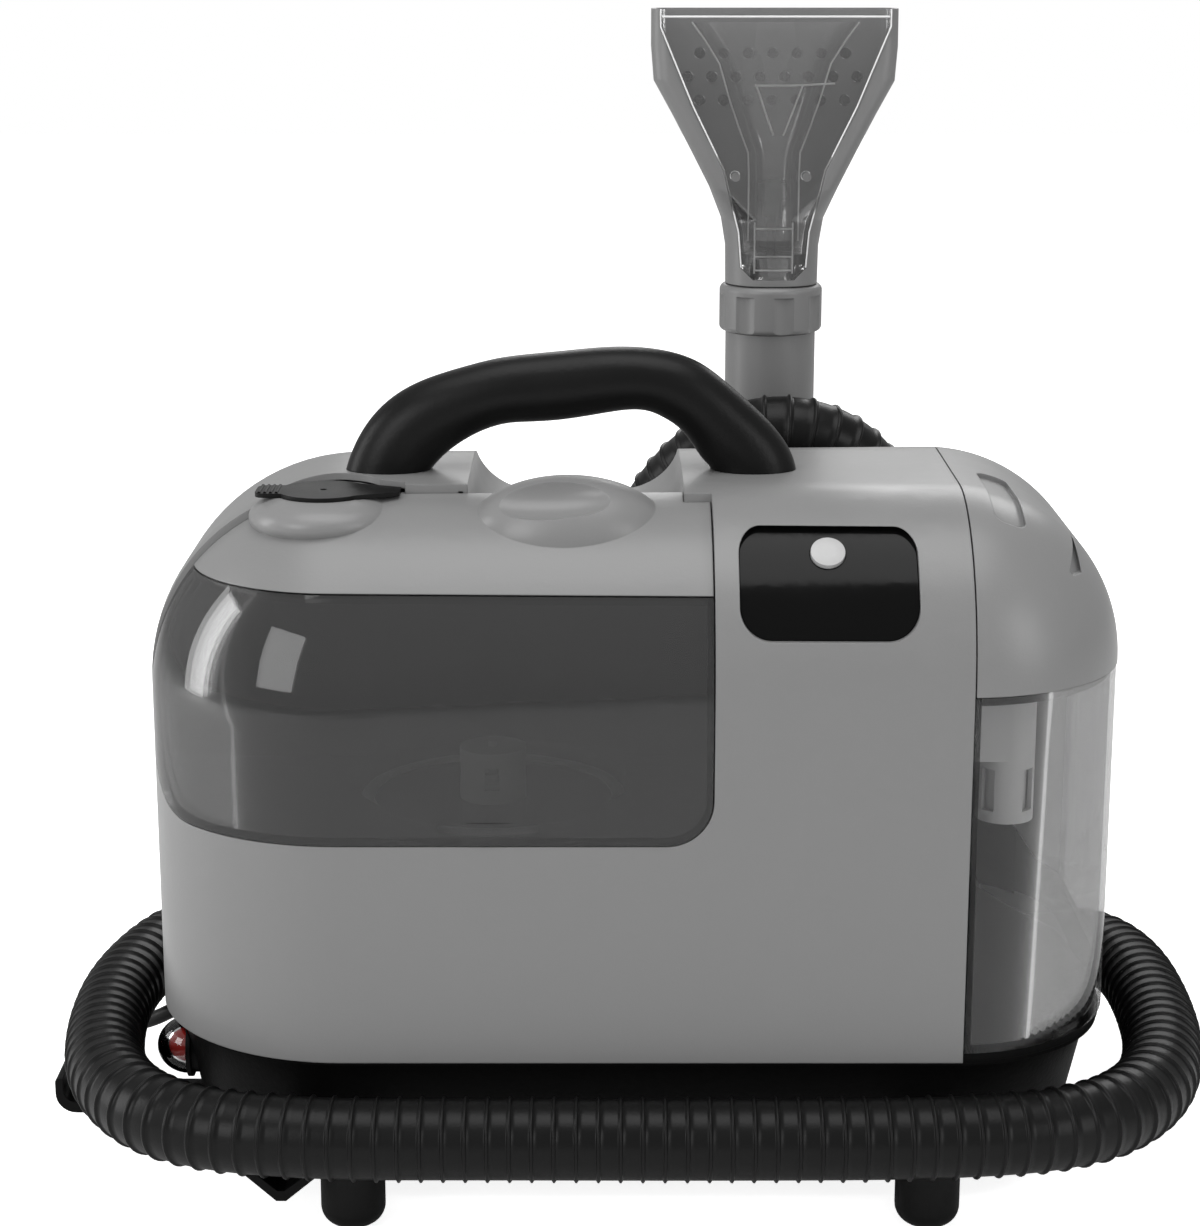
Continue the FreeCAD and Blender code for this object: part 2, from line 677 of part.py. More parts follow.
# Dark catch wall that stands on the recovery tank's floor, with its sloping top edge
catch_top = 148.0
catch_low = 112.0
room = dome(recovery_inset + recovery_wall + 0.4, recovery_low + recovery_wall + 0.05, body_top)
catch_slope = slab(polygon("xz", [
    (tank_left_x + recovery_wall + 0.4, recovery_low),
    (far, recovery_low),
    (far, catch_low - 20),
    (body_right - 12, catch_low - 14),
    (body_right - 30, catch_low + 12),
    (tank_left_x + recovery_wall + 0.4, catch_top),
]), "xz", -far, far)
catch = room.common(catch_slope).cut(wing_region(seam_gap + recovery_wall + 0.4))
catch_hole = dome(recovery_inset + recovery_wall + 2.4, recovery_low, body_top)
catch_hole = catch_hole.common(box(tank_left_x + recovery_wall + 2.4, far, -far, far, recovery_low, far))
catch_hole = catch_hole.cut(wing_region(seam_gap + recovery_wall + 2.4))
save("catch_wall", catch.cut(catch_hole))

cap = outer_dome.cut(dome(shell_wall, shell_bottom - 10))
cap = cap.common(box(tank_left_x, far, -far, far, cap_seam_z + half_gap, far))
cap_side = dome(shell_wall / 2).common(box(tank_left_x, tank_left_x + shell_wall, -far, far, cap_seam_z + half_gap,
                                           far))
cap = cap.fuse(cap_side)
dish_floor = dome(dish_depth)
scoop = slab(rounded("xy", 146, 159, -70, -6, (5, 5, 5, 5)), "xy", cap_seam_z, far)
cap = cap.cut(scoop.cut(dish_floor))
slot = slab(polygon("xz", [(175, 270), (182, 270), (181.5, 281)]), "xz", -75, -42)
cap = cap.cut(slot.cut(dish_floor))
save("recovery_cap", cap)

# Seal between cap and tank
ring = dome(recovery_inset + recovery_wall + 0.3, 200, body_top)
ring = ring.common(box(tank_left_x + recovery_wall + 0.3, far, -far, far, cap_seam_z - 4, cap_seam_z + 0.2))
ring_hole = dome(recovery_inset + recovery_wall + 2.3, 190, body_top)
ring_hole = ring_hole.common(box(tank_left_x + recovery_wall + 2.3, far, -far, far, 180, far))
ring_hole = ring_hole.cut(wing_region(seam_gap + recovery_wall + 2.3))
save("recovery_seal", ring.cut(wing_region(seam_gap + recovery_wall + 0.3)).cut(ring_hole))

# Dark insert on the recovery tank's inner wall: the dirty water spout at the rear, the float cage at the front
inlet_x = tank_left_x + recovery_wall
insert_x = inlet_x + 0.3
insert = box(insert_x, insert_x + 2, port_y - 14, duct_y + 14, port_z + 4, port_z + 17)
insert = insert.fuse(pipe(13, 10.5, V(insert_x, duct_y, port_z), V(inlet_x + 22, duct_y, port_z)))
insert = insert.fuse(pipe(13, 10.5, V(inlet_x + 22, duct_y, port_z + 12), V(inlet_x + 22, duct_y, port_z - 30)))
insert = insert.cut(rod(10.5, V(insert_x - 1, duct_y, port_z), V(inlet_x + 22, duct_y, port_z)))
cage_x = inlet_x + 16
float_low = 166.0
cage_top = port_z + 17
insert = insert.fuse(rod(float_radius + 3, V(cage_x, port_y, float_low), V(cage_x, port_y, cage_top)))
insert = insert.fuse(box(insert_x, cage_x, port_y - 12, port_y + 12, port_z - 12, cage_top))
insert = insert.cut(rod(float_radius + 1, V(cage_x, port_y, float_low + 2), V(cage_x, port_y, cage_top - 2)))
insert = insert.cut(rod(9, V(insert_x - 1, port_y, port_z), V(cage_x, port_y, port_z)))
for turn in range(4):
    window = box(-3, 3, float_radius - 3, float_radius + 6, float_low + 5, port_z - 16)
    window.rotate(V(0, 0, 0), V(0, 0, 1), 90 * turn + 45)
    window.translate(V(cage_x, port_y, 0))
    insert = insert.cut(window)
save("tank_insert", insert.removeSplitter())
float_body = rod(float_radius, V(cage_x, port_y, float_low + 2.1), V(cage_x, port_y, float_low + 2.1 + float_height))
save("float", float_body)

# ---- Base tray: tapered, with a rim under the shell, a deck under the recovery tank, and vent slots ----
tray = Part.makeLoft([plan_wire(tray_bottom_inset, tray_bottom), plan_wire(tray_top_inset, shell_bottom)], True, True)
tray_hollow = Part.makeLoft([plan_wire(tray_bottom_inset + tray_wall, tray_bottom + 3),
                             plan_wire(tray_top_inset + tray_wall, shell_bottom + 1)], True, True)
tray = tray.cut(tray_hollow)
rim = plan_slab(2, shell_bottom - 2, shell_bottom).cut(plan_slab(tray_top_inset + tray_wall, 0, far))
tray = tray.fuse(rim)
deck = plan_slab(deck_inset, shell_bottom, recovery_floor_z - touch_gap)
deck = deck.common(box(column_right_x, far, -far, far, 0, far))
deck = deck.cut(wing_region(touch_gap))
tray = tray.fuse(deck.fuse(plan_slab(deck_inset + 2, shell_bottom - 2, shell_bottom).common(
    box(column_right_x, far, -far, far, 0, far))))
for index in range(vent_count):
    x = vent_first_x + index * vent_pitch
    tray = tray.cut(box(x - 1.5, x + 1.5, 80, 120, tray_bottom + 4, tray_bottom + 14))
tray = tray.cut(rod(switch_ring_radius - 0.9, V(-far, switch_y, switch_z), V(-150, switch_y, switch_z)))
gland_x = -197.0
gland_y = 50.0
gland_z = 36.0
gland_axis = V(-0.94, 0.18, -0.29)
gland_axis.normalize()
gland_root = V(gland_x, gland_y, gland_z) - gland_axis * 14
tray = tray.cut(rod(6.3, gland_root - gland_axis * 14, gland_root + gland_axis * 24))
tray = tray.cut(rod(9.3, gland_root + gland_axis * 3.7, gland_root + gland_axis * 24))
spigot_root = V(0, socket_y, socket_level)
spigot_end = V(0, 92, socket_level + 7)
spigot_axis = (spigot_end - spigot_root).normalize()
spigot_radius_out = duct_outer + 1
tray = tray.cut(rod(spigot_radius_out + touch_gap, spigot_root, spigot_end + spigot_axis * 20))
tray = tray.removeSplitter()
save("base_tray", tray)

# ---- Feet: four round pegs with rounded soles; the front pair carries the hose on a ledge ----
feet = []
ledge_top = hose_level - hose_diameter / 2 - touch_gap
for x in (foot_left_x, foot_right_x):
    for y in (foot_front_y, foot_rear_y):
        foot = Part.makeCylinder(foot_radius, tray_bottom, V(x, y, 0))
        foot = foot.makeFillet(8, [edge for edge in foot.Edges if abs(edge.BoundBox.ZMax) < 0.01])
        if y < 0:
            ledge = Part.makeCylinder(foot_radius, ledge_top - tray_bottom, V(x, y, tray_bottom))
            ledge = ledge.common(box(-far, far, -far, foot_front_y - 2, 0, far))
            foot = foot.fuse(ledge).removeSplitter()
        feet.append(foot)
save("feet", Part.makeCompound(feet))

# ---- Hose rest: a tongue at the left end with an upturned lip, and a V-shaped arm at each left corner ----
rest_top = ledge_top
lip_inner = -body_left - 44.0
lip_top = 37.0
tongue = slab(rounded("xz", lip_inner - 3.5, -176, tray_bottom - 5, lip_top, (9, 0, 0, 1.7)), "xz", -46, -20)
tongue = tongue.cut(slab(rounded("xz", lip_inner, far, tray_bottom - touch_gap, far, (6, 0, 0, 0)), "xz", -far, far))


def corner_arm(side):
    """A V-shaped arm beside the foot, from under the tray out to the hose."""
    profile = Part.Face(polygon("xz", [(-162, rest_top), (-148, 17.5), (-144, 17.5), (-130, rest_top - 1),
                                       (-134, rest_top), (-144.5, 22), (-147.5, 22), (-157, rest_top)]))
    profile.translate(V(0, side * 70, 0))
    arm = profile.extrude(V(0, side * 55, 0))
    plate = box(-156, -136, min(side * 70, side * 100), max(side * 70, side * 100), 20, tray_bottom - touch_gap)
    return arm.cut(box(-far, far, -far, far, tray_bottom - touch_gap, far).common(
        box(-far, far, -108, 108, 0, far))).fuse(plate)


save("hose_rest", Part.makeCompound([tongue, corner_arm(-1), corner_arm(1)]))

# ---- Rocker switch: body, bezel ring, rocker and clear boot, on the left end of the tray ----
switch_axis_x = 9.0 - body_left
ring_out = switch_axis_x + 2.0


def on_switch(x):
    """A point on the switch's axis."""
    return V(x, switch_y, switch_z)


body_block = rod(switch_ring_radius - 1.9, on_switch(switch_axis_x + 3), on_switch(switch_axis_x + 24))
well = rod(rocker_radius + 1.4, on_switch(switch_axis_x - 10), on_switch(switch_axis_x + 8))
bezel = pipe(switch_ring_radius, switch_ring_radius - 2.5, on_switch(ring_out), on_switch(switch_axis_x + 4))
bezel = bezel.cut(Part.makeLoft([plan_wire(tray_bottom_inset - 0.3, tray_bottom),
                                 plan_wire(tray_top_inset - 0.3, shell_bottom)], True, True))
save("switch_body", body_block.cut(well).fuse(bezel))
rocker_pivot = on_switch(switch_axis_x + 3)
rocker = slab(polygon("xz", [
    (rocker_pivot.x + 3, switch_z - 3), (rocker_pivot.x + 3, switch_z + 3),
    (rocker_pivot.x - 3.5, switch_z + rocker_radius), (rocker_pivot.x - 8.0, switch_z + rocker_radius),
    (rocker_pivot.x - 9.4, switch_z + 3), (rocker_pivot.x - 8.6, switch_z - 3),
    (rocker_pivot.x - 5.0, switch_z - rocker_radius), (rocker_pivot.x - 1.0, switch_z - rocker_radius)]), "xz", -far,
    far)
rocker = rocker.common(rod(rocker_radius, on_switch(switch_axis_x - 20), on_switch(switch_axis_x + 20)))
save("rocker", rocker)
boot_radius = switch_ring_radius - 1.4
boot = ellipsoid(on_switch(ring_out), switch_ring_radius, boot_radius, boot_radius)
boot = boot.cut(ellipsoid(on_switch(ring_out), switch_ring_radius - 1, boot_radius - 1, boot_radius - 1))
boot = boot.common(box(-far, ring_out - 0.1, -far, far, 0, far))
save("switch_boot", boot)

# ---- Carrying handle: an arch lofted through oval sections, with its screws ----
handle_stations = [
    (-105.3, body_top, 18.2, 90), (-101.0, 309.5, 17.8, 74), (-90.5, 321.0, 16.6, 47), (-72.0, 330.3, 14.4, 25),
    (-48.0, 335.6, 14.3, 8), (-25.0, 337.8, 14.4, 7), (-5.0, 340.0, 13.5, 3), (14.0, 337.6, 13.6, -22),
    (29.5, 328.0, 14.0, -43), (40.5, 316.5, 15.8, -58), (47.6, 308.0, 17.5, -76), (50.9, body_top, 18.2, -90),
]


def oval(centre, half_width, half_thick, tilt):
    """An oval section across a path that runs in the XZ plane at the angle tilt."""
    turn = math.radians(tilt)
    across = V(-math.sin(turn), 0, math.cos(turn))
    if half_width >= half_thick:
        curve = Part.Ellipse(V(0, 0, 0), half_width, half_thick)
        frame = FreeCAD.Rotation(across, V(0, 1, 0), across.cross(V(0, 1, 0)), "XYZ")
    else:
        curve = Part.Ellipse(V(0, 0, 0), half_thick, half_width)
        frame = FreeCAD.Rotation(V(0, 1, 0), -across, V(0, 1, 0).cross(-across), "XYZ")
    wire = Part.Wire(curve.toShape())
    wire.Placement = FreeCAD.Placement(centre, frame)
    return wire


sections = []
for x, z, half_width, tilt in handle_stations:
    sections.append(oval(V(x, handle_y, z), half_width + 0.01, handle_thick / 2, tilt))
handle = Part.makeLoft(sections, True, False)
screw_depth = 12.0
for x in handle_screw_x:
    for y in (handle_y - 6, handle_y + 6):
        handle = handle.cut(rod(handle_screw_radius, V(x, y, body_top - 1), V(x, y, body_top + screw_depth)))
save("handle", handle)
screws = []
for x in handle_screw_x:
    for y in (handle_y - 6, handle_y + 6):
        shank = rod(handle_screw_radius - 0.1, V(x, y, body_top - shell_wall - 0.1), V(x, y, body_top + 10))
        head = rod(4, V(x, y, body_top - shell_wall - 3), V(x, y, body_top - shell_wall - 0.05))
        screws.append(shank.fuse(head))
save("handle_screws", Part.makeCompound(screws))

# ---- Wand: cuff, tube with its trigger, collar and the spigot that the nozzle slips over ----
def on_wand(z, dx=0.0, dy=0.0):
    """A point at the height z, beside the wand's axis."""
    return V(wand_x + dx, wand_y + dy, z)


cuff = pipe(wand_lower_radius + 2, 15.5, on_wand(cuff_low_z), on_wand(wand_low_z - touch_gap))
save("wand_cuff", cuff)
tube = rod(wand_lower_radius, on_wand(wand_low_z), on_wand(wand_step_z))
tube = tube.fuse(rod(wand_radius, on_wand(wand_step_z), on_wand(collar_low_z)))
tube = tube.fuse(rod(spigot_radius + wand_wall, on_wand(collar_low_z), on_wand(collar_high_z)))
tube = tube.fuse(rod(spigot_radius, on_wand(collar_high_z), on_wand(spigot_top_z)))
tube = tube.cut(rod(wand_lower_radius - wand_wall, on_wand(wand_low_z - 1), on_wand(wand_step_z + 1)))
tube = tube.cut(rod(spigot_radius - wand_wall, on_wand(wand_step_z), on_wand(spigot_top_z + 1)))
trigger_depth = 6.0
trigger_front = wand_y + wand_radius - trigger_depth
half_trigger = trigger_width / 2
tube = tube.cut(box(wand_x - half_trigger - touch_gap, wand_x + half_trigger + touch_gap, trigger_front, far,
                    trigger_low_z, trigger_high_z))
save("wand_tube", tube.removeSplitter())
trigger = slab(rounded("xz", wand_x - half_trigger, wand_x + half_trigger, trigger_low_z + 1, trigger_high_z - 1,
                       (5, 5, 5, 5)), "xz", trigger_front + 2.6, wand_y + wand_radius + 2.4)
for dx in (-3.0, 3.0):
    trigger = trigger.cut(box(wand_x + dx - 1, wand_x + dx + 1, wand_y + wand_radius + 0.6, far, 262, 290))
save("trigger", trigger)
trigger_spring = coil_spring(3.0, 0.6, 0.05, 2.5, 0, 0, turns=2)
trigger_spring.Placement = FreeCAD.Placement(
    on_wand(trigger_low_z + 12, 0, wand_radius - trigger_depth), FreeCAD.Rotation(V(0, 0, 1), V(0, 1, 0)))
save("trigger_spring", trigger_spring)

collar = Part.Face(rounded("xz", spigot_radius + wand_wall + 0.3, collar_radius, collar_low_z + touch_gap,
                           collar_high_z - touch_gap, (0, 2.5, 3, 0)))
collar = collar.revolve(V(0, 0, 0), V(0, 0, 1), 360)
scallop_radius = 12.0
scallop_reach = collar_radius + scallop_radius - 1.6
for turn in range(8):
    way = math.radians(45 * turn + 12)
    middle = V(scallop_reach * math.cos(way), scallop_reach * math.sin(way), 0)
    collar = collar.cut(rod(scallop_radius, middle + V(0, 0, collar_low_z - 1), middle + V(0, 0, collar_high_z - 5)))
collar.translate(on_wand(0))
save("collar", collar)

# ---- Nozzle: a grey back that wraps round a clear front, lofted from the round neck to the wide flat mouth ----
nozzle_stations = [
    (collar_high_z + touch_gap, 21.8, 21.8, 21.8), (379.0, 22.1, 21.5, 20.5), (392.0, 24.3, 20.5, 19.0),
    (407.0, 30.2, 18.5, 17.5), (423.0, 38.5, 16.0, 16.0), (440.0, 47.5, 13.5, 15.0), (456.0, 56.5, 11.0, 14.0),
    (472.0, 57.8, 9.5, 13.5), (nozzle_top_z, 57.8, 8.5, 13.0),
]


def nozzle_section(z, half_width, front, rear, inset):
    """A rounded section of the nozzle at z: front and rear are its reach from the wand's axis."""
    x0 = wand_x - half_width + inset
    x1 = wand_x + half_width - inset
    y0 = wand_y - front + inset
    y1 = wand_y + rear - inset
    corner = min(x1 - x0, y1 - y0) / 2 - 0.4
    corner = min(corner, 19.0 - inset) if half_width < 25 else min(corner, 8.0 - inset)
    wire = rounded("xy", x0, x1, y0, y1, (corner,) * 4)
    wire.translate(V(0, 0, z))
    return wire


def nozzle_solid(inset, stretch):
    """The nozzle's solid form, with its ends drawn out by stretch."""
    wires = []
    count = len(nozzle_stations)
    for index, (z, half_width, front, rear) in enumerate(nozzle_stations):
        level = z - stretch if index == 0 else z + stretch if index == count - 1 else z
        wires.append(nozzle_section(level, half_width, front, rear, inset))
    return Part.makeLoft(wires, True, True)


nozzle_shell = nozzle_solid(0, 0).cut(nozzle_solid(nozzle_wall, 0.5))
nozzle_shell = nozzle_shell.fuse(pipe(21.0, spigot_radius + 0.3, on_wand(collar_high_z + touch_gap),
                                      on_wand(spigot_top_z + 2)).common(nozzle_solid(nozzle_wall / 2, 0)))
window_half_widths = [(9.6, 364.5), (15.5, 370), (16.9, 386.5), (24, 415.4), (38.6, 444.4), (54, 481), (54, 520)]


def nozzle_window(grow, rear):
    """The clear front's place in the nozzle, from its narrow foot at the neck to its wide top at the mouth."""
    right = [(wand_x + half_width + grow, z - grow) for half_width, z in window_half_widths]
    left = [(wand_x - half_width - grow, z - grow) for half_width, z in reversed(window_half_widths)]
    return slab(polygon("xz", right + left), "xz", -far, rear + grow)


nozzle_seam = 0.1
save("nozzle_front", nozzle_shell.common(nozzle_window(-nozzle_seam, nozzle_split_y)))
nozzle_back = nozzle_shell.cut(nozzle_window(nozzle_seam, nozzle_split_y))
tuft_rows = ((468.0, 7), (457.0, 8), (446.0, 7))
tuft_pitch = 11.5
tuft_radius = 2.6
tufts = []
back_face = wand_y + 12.4
for z, count in tuft_rows:
    for index in range(count):
        x = wand_x + (index - (count - 1) / 2) * tuft_pitch
        nozzle_back = nozzle_back.cut(rod(tuft_radius + 0.1, V(x, wand_y, z), V(x, wand_y + 40, z)))
        tufts.append(rod(tuft_radius, V(x, back_face - 1, z), V(x, back_face + 9, z)))
screw_points = [V(wand_x + dx, wand_y + 14, 410) for dx in (-17.0, 17.0)]
for point in screw_points:
    nozzle_back = nozzle_back.cut(rod(2.4, point - V(0, 12, 0), point + V(0, 12, 0)))
save("nozzle_back", nozzle_back)
save("brush_tufts", Part.makeCompound(tufts))
save("nozzle_screws", Part.makeCompound(
    [rod(2.2, point - V(0, 6, 0), point + V(0, 2.2, 0)) for point in screw_points]))

# Spray jet with its pipe, inside the nozzle
jet = rod(4.5, on_wand(392, 0, 2), on_wand(410, 0, 2)).fuse(rod(2.2, on_wand(362, 0, 2), on_wand(393, 0, 2)))
jet = jet.fuse(box(wand_x - 7, wand_x + 7, wand_y - 1, wand_y + 14.9, 400, 408))
save("spray_jet", jet)

# ---- Wand clip on the rear shell: a back plate and two springy flanges ----
clip_back = half_depth + touch_gap
plate = slab(rounded("xz", wand_x - 27, wand_x + 27, clip_low_z, clip_high_z, (5, 5, 5, 5)), "xz", clip_back,
             clip_back + 4)
clip = plate
for side in (-1, 1):
    inner = wand_x + side * (wand_radius + 0.6)
    outer = inner + side * 3
    flange = slab(rounded("yz", clip_back, wand_y + 2, clip_low_z, clip_high_z, (0, 8, 8, 0)), "yz",
                  min(inner, outer), max(inner, outer))
    clip = clip.fuse(flange)
save("wand_clip", clip.removeSplitter())


# ---- Hose: wrapped once round the base, up the rear, over the shoulder and down to the wand ----
socket_end = 158.0
hose_route = [
    V(socket_end + touch_gap, socket_y, socket_level), V(186, socket_y, socket_level),
    V(209, 117, 40), V(227, 96, 45), V(236.5, 60, hose_level), V(238, 14, hose_level), V(233.5, -40, hose_level),
    V(218.5, -88, hose_level), V(184, -121, hose_level), V(126, -131, hose_level), V(36, -132, hose_level),
    V(-56, -131.5, hose_level), V(-136, -131.5, hose_level), V(-194, -117, hose_level), V(-226, -74, hose_level),
    V(-236.5, -16, hose_level), V(-236.8, 42, hose_level), V(-221, 100, hose_level), V(-184, 137, hose_level),
    V(-132, 144, 50), V(-88, 144, 62), V(-56, 143, 92), V(-34, 142, 134), V(-17, 140, 180), V(-2, 136, 224),
    V(15, 127, 262), V(39, 114, 289), V(71, 107, 299), V(103, 112, 288), V(124, 124, 258), V(138, 138, 216),
    V(146, 146, 172), V(150, 152, 130), V(152, 159, 90), V(152, 166, 50), V(130, 168.5, 18.4), V(90, 168.5, 18.4),
    V(wand_x, 165, 44), V(wand_x, wand_y, 71), V(wand_x, wand_y, cuff_low_z - touch_gap),
]
save("hose", cord_tube("hose", hose_route, hose_diameter))

# ---- Hose coupling on the rear of the tray: block, elbow, cuff and latch ----
block_low = 9.0
block_round = hose_diameter / 2 + 1.5
spigot_play = 16.3
block = slab(rounded("yz", 106, socket_y + block_round, block_low, socket_level + block_round,
                     (4, 4, block_round - 0.1, 6)), "yz", socket_left, socket_right)
block = block.fuse(box(socket_left + 22, socket_right - 22, 112, 147, block_low - 5, block_low + 6))
block = block.cut(rod(spigot_play, V(socket_left - 1, socket_y, socket_level),
                      V(socket_right + 1, socket_y, socket_level)))
save("hose_socket", block.removeSplitter())
machine_cuff = rod(block_round, V(socket_right + touch_gap, socket_y, socket_level),
                   V(socket_end, socket_y, socket_level))
machine_cuff = machine_cuff.fuse(rod(spigot_play - touch_gap, V(socket_left + 6, socket_y, socket_level),
                                     V(socket_right + 1, socket_y, socket_level)))
machine_cuff = machine_cuff.cut(rod(13, V(socket_left - 1, socket_y, socket_level),
                                    V(socket_end + 1, socket_y, socket_level)))
save("hose_cuff", machine_cuff)
elbow_radius = 19.5
elbow_bend = V(-3, socket_y, socket_level)
elbow = Part.makeSphere(elbow_radius, elbow_bend)
elbow = elbow.fuse(rod(elbow_radius, elbow_bend, V(socket_left, socket_y, socket_level)))
elbow = elbow.fuse(rod(spigot_radius_out, spigot_end, spigot_root))
elbow = elbow.cut(rod(duct_inner, spigot_end + spigot_axis, spigot_root))
elbow = elbow.cut(rod(13, V(0, socket_y, socket_level), V(socket_left + 9, socket_y, socket_level)))
elbow = elbow.common(box(-far, socket_left - touch_gap, 0, far, 0, far))
save("hose_elbow", elbow.removeSplitter())
latch_rear = socket_y + block_round
latch = box(socket_left + 2, socket_left + 12, latch_rear + 4, latch_rear + 7.5, block_low - 4, block_low + 22)
latch = latch.fuse(rod(2.2, V(socket_left + 2, latch_rear + 2.5, block_low + 11),
                       V(socket_left + 20, latch_rear + 2.5, block_low + 11)))
save("socket_latch", latch)

# ---- Duct from the elbow up to the recovery tank's port, inside the body ----
duct_knee = spigot_end + spigot_axis * 17
duct_turn = V(112, duct_knee.y, duct_knee.z)
duct_top = V(duct_turn.x, duct_y, port_z)
duct_path = [spigot_end + spigot_axis * touch_gap, duct_knee, duct_turn, duct_top, V(right_edge, duct_y, port_z)]
runs = list(zip(duct_path, duct_path[1:]))
dirty_duct = rod(duct_outer, *runs[0])
dirty_duct = dirty_duct.fuse([rod(duct_outer, *run) for run in runs[1:]])
dirty_duct = dirty_duct.fuse([Part.makeSphere(duct_outer, knee) for knee in duct_path[1:-1]])
for run in runs:
    dirty_duct = dirty_duct.cut(rod(duct_inner, *run))
dirty_duct = dirty_duct.cut([Part.makeSphere(duct_inner, knee) for knee in duct_path[1:-1]])
save("dirty_water_duct", dirty_duct)

# ---- Vacuum unit: motor on its legs, blower housing above it, impeller on the motor's shaft, air hose ----
def on_motor(z):
    """A point on the motor's axis at the height z."""
    return V(motor_x, motor_y, z)


motor = rod(motor_radius, on_motor(motor_low_z), on_motor(blower_low_z - mount_thick))
motor = motor.cut(rod(shaft_radius + shaft_play, on_motor(motor_low_z + 12), on_motor(blower_low_z)))
leg_circle = motor_radius - 8
for turn in (150, 210, 300, 60):
    leg = math.radians(turn)
    foot = on_motor(tray_bottom + 3) + V(leg_circle * math.cos(leg), leg_circle * math.sin(leg), 0)
    motor = motor.fuse(rod(5, foot, foot + V(0, 0, motor_low_z - tray_bottom - 3)))
save("vacuum_motor", motor)
save("motor_mount", pipe(motor_radius - 2, motor_radius - 14, on_motor(blower_low_z - mount_thick),
                         on_motor(blower_low_z)))
blower = rod(blower_radius, on_motor(blower_low_z), on_motor(blower_high_z))
blower = blower.cut(rod(blower_radius - 3, on_motor(blower_low_z + 3), on_motor(blower_high_z - 3)))
blower = blower.cut(rod(air_hose_radius - 2, on_motor(blower_high_z - 4), on_motor(blower_high_z + 1)))
blower = blower.cut(rod(shaft_radius + 1.0, on_motor(blower_low_z - 1), on_motor(blower_low_z + 4)))
save("blower_housing", blower)
impeller = rod(blower_radius - 5, on_motor(blower_low_z + 6), on_motor(blower_low_z + 8))
impeller = impeller.fuse(rod(9, on_motor(blower_low_z + 7), on_motor(blower_high_z - 8)))
for turn in range(9):
    blade = box(8, blower_radius - 6, -0.8, 0.8, blower_low_z + 7, blower_high_z - 9)
    blade.rotate(V(0, 0, 0), V(0, 0, 1), 40 * turn)
    blade.translate(on_motor(0))
    impeller = impeller.fuse(blade)
impeller = impeller.cut(rod(shaft_radius, on_motor(blower_low_z), on_motor(blower_high_z)))
save("impeller", impeller)
save("motor_shaft", rod(shaft_radius, on_motor(motor_low_z + 12.5), on_motor(blower_high_z - 9)))
save("air_filter", pipe(port_radius, 4, V(right_edge - 10, port_y, port_z), V(right_edge - 0.3, port_y, port_z)))

# ---- Water pump on the tray floor ----
pump = rod(17, V(pump_x, pump_y, pump_low_z), V(pump_x, pump_y, pump_high_z))
pump = pump.fuse(box(pump_x - 22, pump_x + 22, pump_y - 20, pump_y + 20, tray_bottom + 3.0, pump_low_z))
pump = pump.cut(rod(2.5, V(pump_x, pump_y, pump_high_z - 14), V(pump_x, pump_y, pump_high_z + 1)))
save("water_pump", pump)


# ---- Cord gland, power cord, its coil and its plug ----
gland = rod(9, gland_root + gland_axis * 4, gland_root + gland_axis * 8)
gland = gland.fuse(rod(6, gland_root - gland_axis * 4, gland_root + gland_axis * 14))
gland = gland.cut(rod(cord_diameter / 2, gland_root - gland_axis * 5, gland_root + gland_axis * 10))
save("cord_gland", gland)
gland_end = gland_root + gland_axis * (14 + touch_gap)
cord_route = [
    gland_end, gland_end + gland_axis * 16, V(-230, 62, 19), V(-247, 80, 10), V(-258, 108, cord_level + 1),
    V(-256, 138, cord_level), V(-238, 162, cord_level), V(-208, 177, cord_level), V(-172, 181, cord_level),
    V(-138, 175, cord_level + 0.5), V(-110, 160, 8), V(-92, 141, 20), V(-83, 126, 40), V(-79, 119, 62),
    V(-77, 117, 84), V(-77, 119, 104),
]
plug_top = V(-151, coil_back_y + 12, 209)
plug_axis = V(-0.30, 0, -0.954)
plug_axis.normalize()
relief_length = 11.0
tail_route = [
    V(-105, 121, 265), V(-121, 124.5, 262), V(-134, 132, 252), V(-142, 140.5, 236),
    plug_top - plug_axis * (relief_length + touch_gap),
]
save("power_cord", Part.makeCompound([
    cord_tube("power_cord", cord_route, cord_diameter), cord_tube("plug_cord", tail_route, cord_diameter)]))


# The wound cord, as the outer shape of its turns: an upright ring round the hook
hook_x = -109.0
hook_low = 196.0
hook_high = 252.0
hook_half = 17.0
coil_round = (coil_right - coil_left) / 2 - 1
coil = slab(rounded("xz", coil_left, coil_right, coil_low, coil_high, (coil_round,) * 4), "xz", coil_front_y,
            coil_back_y)
coil_hole = slab(rounded("xz", hook_x - hook_half, hook_x + hook_half, hook_low, hook_high, (12, 12, 16, 16)), "xz",
                 0, far)
coil = coil.cut(coil_hole)
save("cord_coil", coil)

# Winder: a back plate on the rear shell with a peg inside the coil, and a clip arm over the coil's outer run
winder = slab(rounded("xz", hook_x - 24, hook_x + 24, coil_low + 22, hook_high + 3, (20, 20, 20, 20)), "xz",
              half_depth + touch_gap, half_depth + 2.4)
peg_radius = 10.0
peg_z = 234.0
winder = winder.fuse(rod(peg_radius, V(hook_x, half_depth + 1, peg_z), V(hook_x, coil_back_y + 1.2, peg_z)))
clip_z = 204.0
clip_arm = box(coil_left - 6, hook_x - hook_half + 6, coil_back_y + touch_gap, coil_back_y + 3, clip_z, clip_z + 9)
clip_arm = clip_arm.fuse(box(hook_x - hook_half + 2, hook_x - hook_half + 6, half_depth + 1, coil_back_y + 3, clip_z,
                             clip_z + 9))
winder = winder.fuse(clip_arm)
winder = winder.cut(rod(3.05, V(hook_x, half_depth + 4, peg_z), V(hook_x, far, peg_z)))
